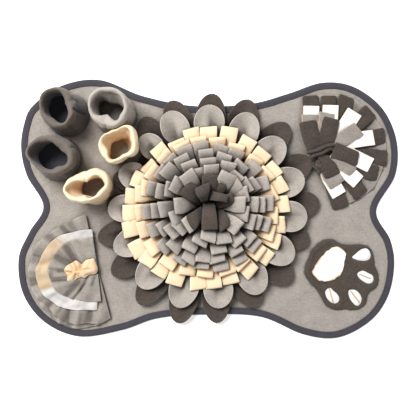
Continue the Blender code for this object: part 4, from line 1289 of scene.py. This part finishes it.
def buildBacking():
    part = fringe["backing"]
    angles = np.radians(np.linspace(part["first"], part["last"], 130))[:, None]
    share = np.concatenate([np.linspace(0.07, 0.92, 24), [0.96, 1.0]])[None]
    radius = part["reach"] * share * (1 + 0.014 * np.sin(angles * 7) * share)
    x, y = fringeHub[0] + radius * np.cos(angles), fringeHub[1] + radius * np.sin(angles)
    pleat = np.sin(angles * 16 + 0.9 + 0.8 * np.sin(angles * 3))
    rim = ease((share - 0.9) / 0.1)
    folds = 0.0046 * np.maximum(pleat ** 3, -0.1) * ease((share - 0.50) / 0.30) * (1 - 0.35 * rim)
    z = 0.0054 + folds + 0.0004 * drift(x, y, 0.03, 88) - 0.0002 * rim
    # painted shade in the pleats' troughs, and near the hub under the strips
    between = 0.45 * np.clip(-pleat, 0, 1) ** 2 * ease((0.99 - share) / 0.08)
    heap = Heap()
    clothSheet(heap, np.dstack([x, y, z]), part["cloth"], rim=3,
               deep=np.maximum(0.85 * ease((0.92 - share) / 0.25), between))
    heap.settle("fringe_backing", ["grey_fleece_shaded_fringe"], flatSize(heap.area, 1.2))


buildBacking()
for number, (name, layer) in enumerate(fringe["layers"].items()):
    buildFringe(name, layer, 501 + 60 * number)


# Paw: a padded dark cut-out with four toe holes over white fleece, and a white pad sewn on top
paw = dict(
    outline=(
        (210, -57.5), (222, -55), (232.5, -56.5), (244, -63.5), (260, -65.5), (278, -64.5), (291.5, -67.5),
        (300.5, -75), (305, -91), (306, -102), (312, -117), (313, -132), (308.5, -144), (296, -153),
        (292, -164), (288.5, -175), (278, -183), (262.5, -186), (252, -183.5), (241.5, -185.5), (228.5, -184),
        (215.5, -176), (207.5, -162), (199.5, -149), (189, -138), (179.5, -125), (177, -114), (180, -99),
        (185.5, -87), (190, -76), (200, -65),
    ),
    pad=(
        (236.5, -68.5), (252.5, -80), (252, -88), (249.5, -98), (247.5, -112), (240, -123), (226, -131.5),
        (206, -132.5), (196, -125), (190, -116), (194, -108), (199.5, -97), (209, -86), (220, -75),
    ),
    # outline of each toe hole and its slit, mm; the first has a crease in place of a slit
    toes=(
        dict(
            slit=(272, -88.5, 292, -82), cut=False, hole=(
                (264.5, -88.5), (271, -82), (277.5, -76.5), (283, -73), (290, -72), (296, -75.5), (299, -83),
                (297, -91), (291, -94.5), (282, -95), (272, -93),
            ),
        ),
        dict(
            slit=(278.5, -120.5, 298, -128), cut=True, hole=(
                (274, -119), (279, -114.5), (286, -113.5), (294, -117.5), (302, -122), (304, -130),
                (300, -136), (292, -136.5), (283, -131.5), (277, -126),
            ),
        ),
        dict(
            slit=(262, -151, 278, -172), cut=True, hole=(
                (258, -150), (264, -148), (271, -149), (278, -155), (282, -163), (281.5, -170), (277, -177),
                (271, -177), (264, -170), (259, -161),
            ),
        ),
        dict(
            slit=(223, -147, 230, -172), cut=True, hole=(
                (215, -153), (219, -146.5), (225, -145), (230, -150), (237, -156), (241, -164), (239, -171),
                (233, -173.5), (225, -171), (218, -163),
            ),
        ),
    ),
    top=0.0089, edgeTop=0.0052, seat=0.0045, under=0.0066, seam=0.0040, underInset=0.0044, underTop=0.0060,
    slitWidth=0.0011, slitEdge=0.0014, padSeat=0.0092, padTop=0.0098,
    creases=(
        (220, -61, 194, -76, 1.5, 3.0, 0.6), (194, -74, 186, -98, 1.6, 3.0, 0.6),
        (186, -96, 182, -118, 1.3, 3.0), (216, -68, 200, -82, -0.9, 2.6), (200, -80, 190, -104, -1.0, 2.6),
        (258, -120, 270, -142, 0.8, 6), (244, -140, 256, -170, -0.8, 5), (262, -72, 254, -96, 0.7, 6),
        (284, -102, 302, -106, 0.7, 4), (214, -176, 232, -182, 0.5, 3), (280, -146, 290, -156, -0.6, 4),
        (262, -104, 280, -112, -0.6, 5), (236, -136, 232, -150, 0.6, 5),
    ),
)
pawEdge = smoothClosed(paw["outline"], 8)
toeHoles = [smoothClosed(toe["hole"], 4) for toe in paw["toes"]]
padEdge = smoothClosed(paw["pad"], 10)
padEdge = inset(padEdge, 0.00045 * drift(padEdge[:, 0:1], padEdge[:, 1:2], 0.008, 93))


def offSlit(x, y, slit):
    x0, y0, runX, runY = (value * mm for value in (*slit[:2], slit[2] - slit[0], slit[3] - slit[1]))
    along = np.clip(((x - x0) * runX + (y - y0) * runY) / (runX**2 + runY**2), 0, 1)
    return np.hypot(x - x0 - runX * along, y - y0 - runY * along)


def slitLines():
    # points in rows along each slit, for a fine enough mesh there
    lines = []
    for toe in paw["toes"]:
        x0, y0, x1, y1 = inMetres(toe["slit"])
        t = np.linspace(-0.05, 1.05, 30)[:, None]
        across = leftOf(unit(np.array([x1 - x0, y1 - y0])))
        line = np.array([x0, y0]) + np.array([x1 - x0, y1 - y0]) * t + across * np.sin(math.pi * t) * 0.0006
        lines += [line + across * off * mm for off in (-2.5, -1.4, -0.7, 0, 0.7, 1.4, 2.5)]
    return np.vstack(lines)


def pawTop(x, y, reach):
    outer = edgeDistance(np.column_stack([x, y]), pawEdge)
    lift = (paw["top"] - paw["edgeTop"]) * hemmed(reach / 0.0030)
    lift = lift + 0.0006 * np.exp(-((outer - 0.0065) / 0.003) ** 2)
    wave = 0.0003 * drift(x, y, 0.030, 91)
    return paw["edgeTop"] + lift + ease(reach / 0.004) * (wave + creased(x, y, paw["creases"]))


def pawUnder(x, y, reach):
    outer = edgeDistance(np.column_stack([x, y]), pawEdge)
    return np.where(outer < paw["seam"], paw["seat"], paw["under"])


def underTop(x, y, reach):
    # white fleece below, pushed up a little in each hole, slit along the middle
    height = paw["underTop"] + 0 * x
    where = np.column_stack([x, y])
    for toe, hole in zip(paw["toes"], toeHoles):
        inside = np.where(insideOf(where, hole), edgeDistance(where, hole), 0.0)
        slit = np.exp(-((offSlit(x, y, toe["slit"]) / paw["slitWidth"]) ** 2)) * (inside > 0)
        height = height + 0.0017 * ease(inside / 0.006) - (0.0013 if toe["cut"] else 0.0006) * slit
    return height


# faces along the cut slits take the tan of the cut edges: painted shade in the slits
def slitKind(middle):
    cut = [offSlit(*middle.T, toe["slit"]) < paw["slitEdge"] for toe in paw["toes"] if toe["cut"]]
    return np.any(cut, axis=0).astype(int)


def padTop(x, y, reach):
    soft = 0.0014 * hemmed(reach / 0.0016) + 0.0004 * ease(reach / 0.01)
    return paw["padTop"] + soft + 0.0002 * drift(x, y, 0.02, 94)


def padKind(middle):
    x, y = middle.T
    # the pad's cut edge shows tan, painted shade, wider along its lower left side
    cut = 0.0012 + 0.0008 * drift(x, y, 0.03, 95) + 0.0010 * (x + y < 0.118)
    return (edgeDistance(middle, padEdge) < cut).astype(int)


heap = Heap()
clothPlate(heap, pawEdge, 0.0036, pawTop, pawUnder, toeHoles, rings=(0.35, 0.9, 1.8, 3.0))
heap.settle("paw_top", ["dark_fleece"], (0.134, 0.132), area=heap.area)
heap = Heap()
clothPlate(heap, inset(pawEdge, paw["underInset"]), 0.0020, underTop, flatAt(paw["seat"]), rings=(0.4,),
           kindOf=slitKind, fine=slitLines())
heap.settle("paw_underlay", ["white_fleece", "shaded_cut_edge"], (0.125, 0.123), area=heap.area)
heap = Heap()
clothPlate(heap, padEdge, 0.0026, padTop, flatAt(paw["padSeat"]), rings=(0.3, 0.7, 1.2, 1.7, 2.4),
           kindOf=padKind)
heap.settle("paw_pad", ["white_fleece", "shaded_cut_edge"], (0.064, 0.066), heap.area)
print("all pieces made")


# Painted shade: cloth shut in between its neighbours is painted darker, as occlusion found with rays.
# Rings of rays are their height and number
depth = dict(reach=0.050, cupReach=0.110, start=0.16, gain=1.55, most=0.96, clear=0.0004, facing=-0.25,
             rings=((0.28, 7), (0.60, 6), (0.90, 4)))


def readAll(data, name, width):
    values = np.empty(len(data) * width, np.float32)
    data.foreach_get(name, values)
    return values.reshape(-1, width)


def shutIn(tree, starts, normals, reach):
    # share of each point's sky that is closed, nearer cloth counting for more
    sky = []
    for up, number in depth["rings"]:
        across = math.sqrt(1 - up * up)
        sky += [(across * math.cos(turn), across * math.sin(turn), up)
                for turn in 2 * math.pi * (np.arange(number) + up) / number]
    rays = [Vector(ray) for ray in sky]
    weights = np.clip(normals @ np.array(sky).T, 0, 1)
    closed = np.ones(len(starts))
    for i in np.nonzero(normals[:, 2] > depth["facing"])[0]:
        origin = Vector(starts[i])
        shut = 0.0
        for ray, weight in zip(rays, weights[i].tolist()):
            if weight > 0.05:
                distance = tree.ray_cast(origin, ray, reach)[3]
                if distance is not None:
                    shut += weight * (1 - 0.6 * distance / reach)
        closed[i] = shut / max(weights[i].sum(), 0.2)
    return closed


def paintOcclusionShade(pieces):
    spots, faces, count = [], [], 0
    for piece in pieces:
        spots.append(readAll(piece.data.vertices, "co", 3))
        faces += [[count + corner for corner in face.vertices] for face in piece.data.polygons]
        count += len(spots[-1])
    tree = BVHTree.FromPolygons(np.vstack(spots).tolist(), faces)
    for piece, places in zip(pieces, spots):
        if piece.name == "binding_cloth":
            continue
        normals = readAll(piece.data.vertex_normals, "vector", 3)
        reach = depth["cupReach"] if piece.name.startswith("cup") else depth["reach"]
        closed = shutIn(tree, places + normals * depth["clear"], normals, reach)
        data = piece.data.attributes["deep"].data
        marks = np.maximum(readAll(data, "value", 1)[:, 0], 0)
        marks = marks + depth["gain"] * np.clip(closed - depth["start"], 0, 1)
        if piece.name == "mat_cloth":
            for cup in cups.values():  # the cream walls throw light down on the mat inside them
                if cup["look"] == "cream_fleece":
                    off = places[:, :2] - inMetres(cup["foot"])
                    marks[np.hypot(off[:, 0], off[:, 1]) < cup["footRadius"] * mm] = 0
        data.foreach_set("value", np.clip(marks, 0, depth["most"]).astype(np.float32))


paintOcclusionShade([piece for piece in bpy.data.objects if piece.name.endswith("_cloth")])
print("depth marked")


# Studio: white floor and world, a soft key from the upper left, the camera straight above
studio = dict(world=0.47, keyPower=92.0, keyPlace=(-1.05, 1.15, 2.25), keySize=1.2, floorGlow=0.42,
              floorHalf=6.0, camera=(-0.0003, 0.0019, 1.0), lens=46.765)


def buildFloor():
    half = studio["floorHalf"]
    corners = [(-half, -half, 0), (half, -half, 0), (half, half, 0), (-half, half, 0)]
    mesh = bpy.data.meshes.new("floor")
    mesh.from_pydata(corners, [], [(0, 1, 2, 3)])
    material, wire, place = newTree("floor_paper")
    shader = wire.node("ShaderNodeBsdfPrincipled", None, {
        "Base Color": wire.blend(wire.noise(place, 3.0), (0.93, 0.93, 0.93, 1), (0.95, 0.95, 0.95, 1)),
        "Roughness": 0.9, "Specular IOR Level": 0.1,
        "Emission Color": (1.0, 1.0, 1.0, 1.0), "Emission Strength": studio["floorGlow"],
    })
    wire.node("ShaderNodeOutputMaterial", None, {"Surface": shader})
    mesh.materials.append(material)
    addObject("floor", mesh)


def buildStudio():
    scene = bpy.context.scene
    world = bpy.data.worlds.new("studio")
    world.use_nodes = True
    world.node_tree.nodes["Background"].inputs[0].default_value = (1.0, 1.0, 1.0, 1.0)
    world.node_tree.nodes["Background"].inputs[1].default_value = studio["world"]
    scene.world = world
    light = bpy.data.lights.new("key", "AREA")
    light.shape, light.size, light.energy = "SQUARE", studio["keySize"], studio["keyPower"]
    key = addObject("key", light, studio["keyPlace"])
    key.rotation_euler = (-Vector(studio["keyPlace"])).to_track_quat("-Z", "Y").to_euler()
    camera = addObject("camera", bpy.data.cameras.new("camera"), studio["camera"])
    camera.data.lens = studio["lens"]
    camera.data.sensor_width = 36.0
    camera.data.clip_start = 0.01
    scene.camera = camera
    scene.view_settings.view_transform = "Standard"


buildFloor()
buildStudio()
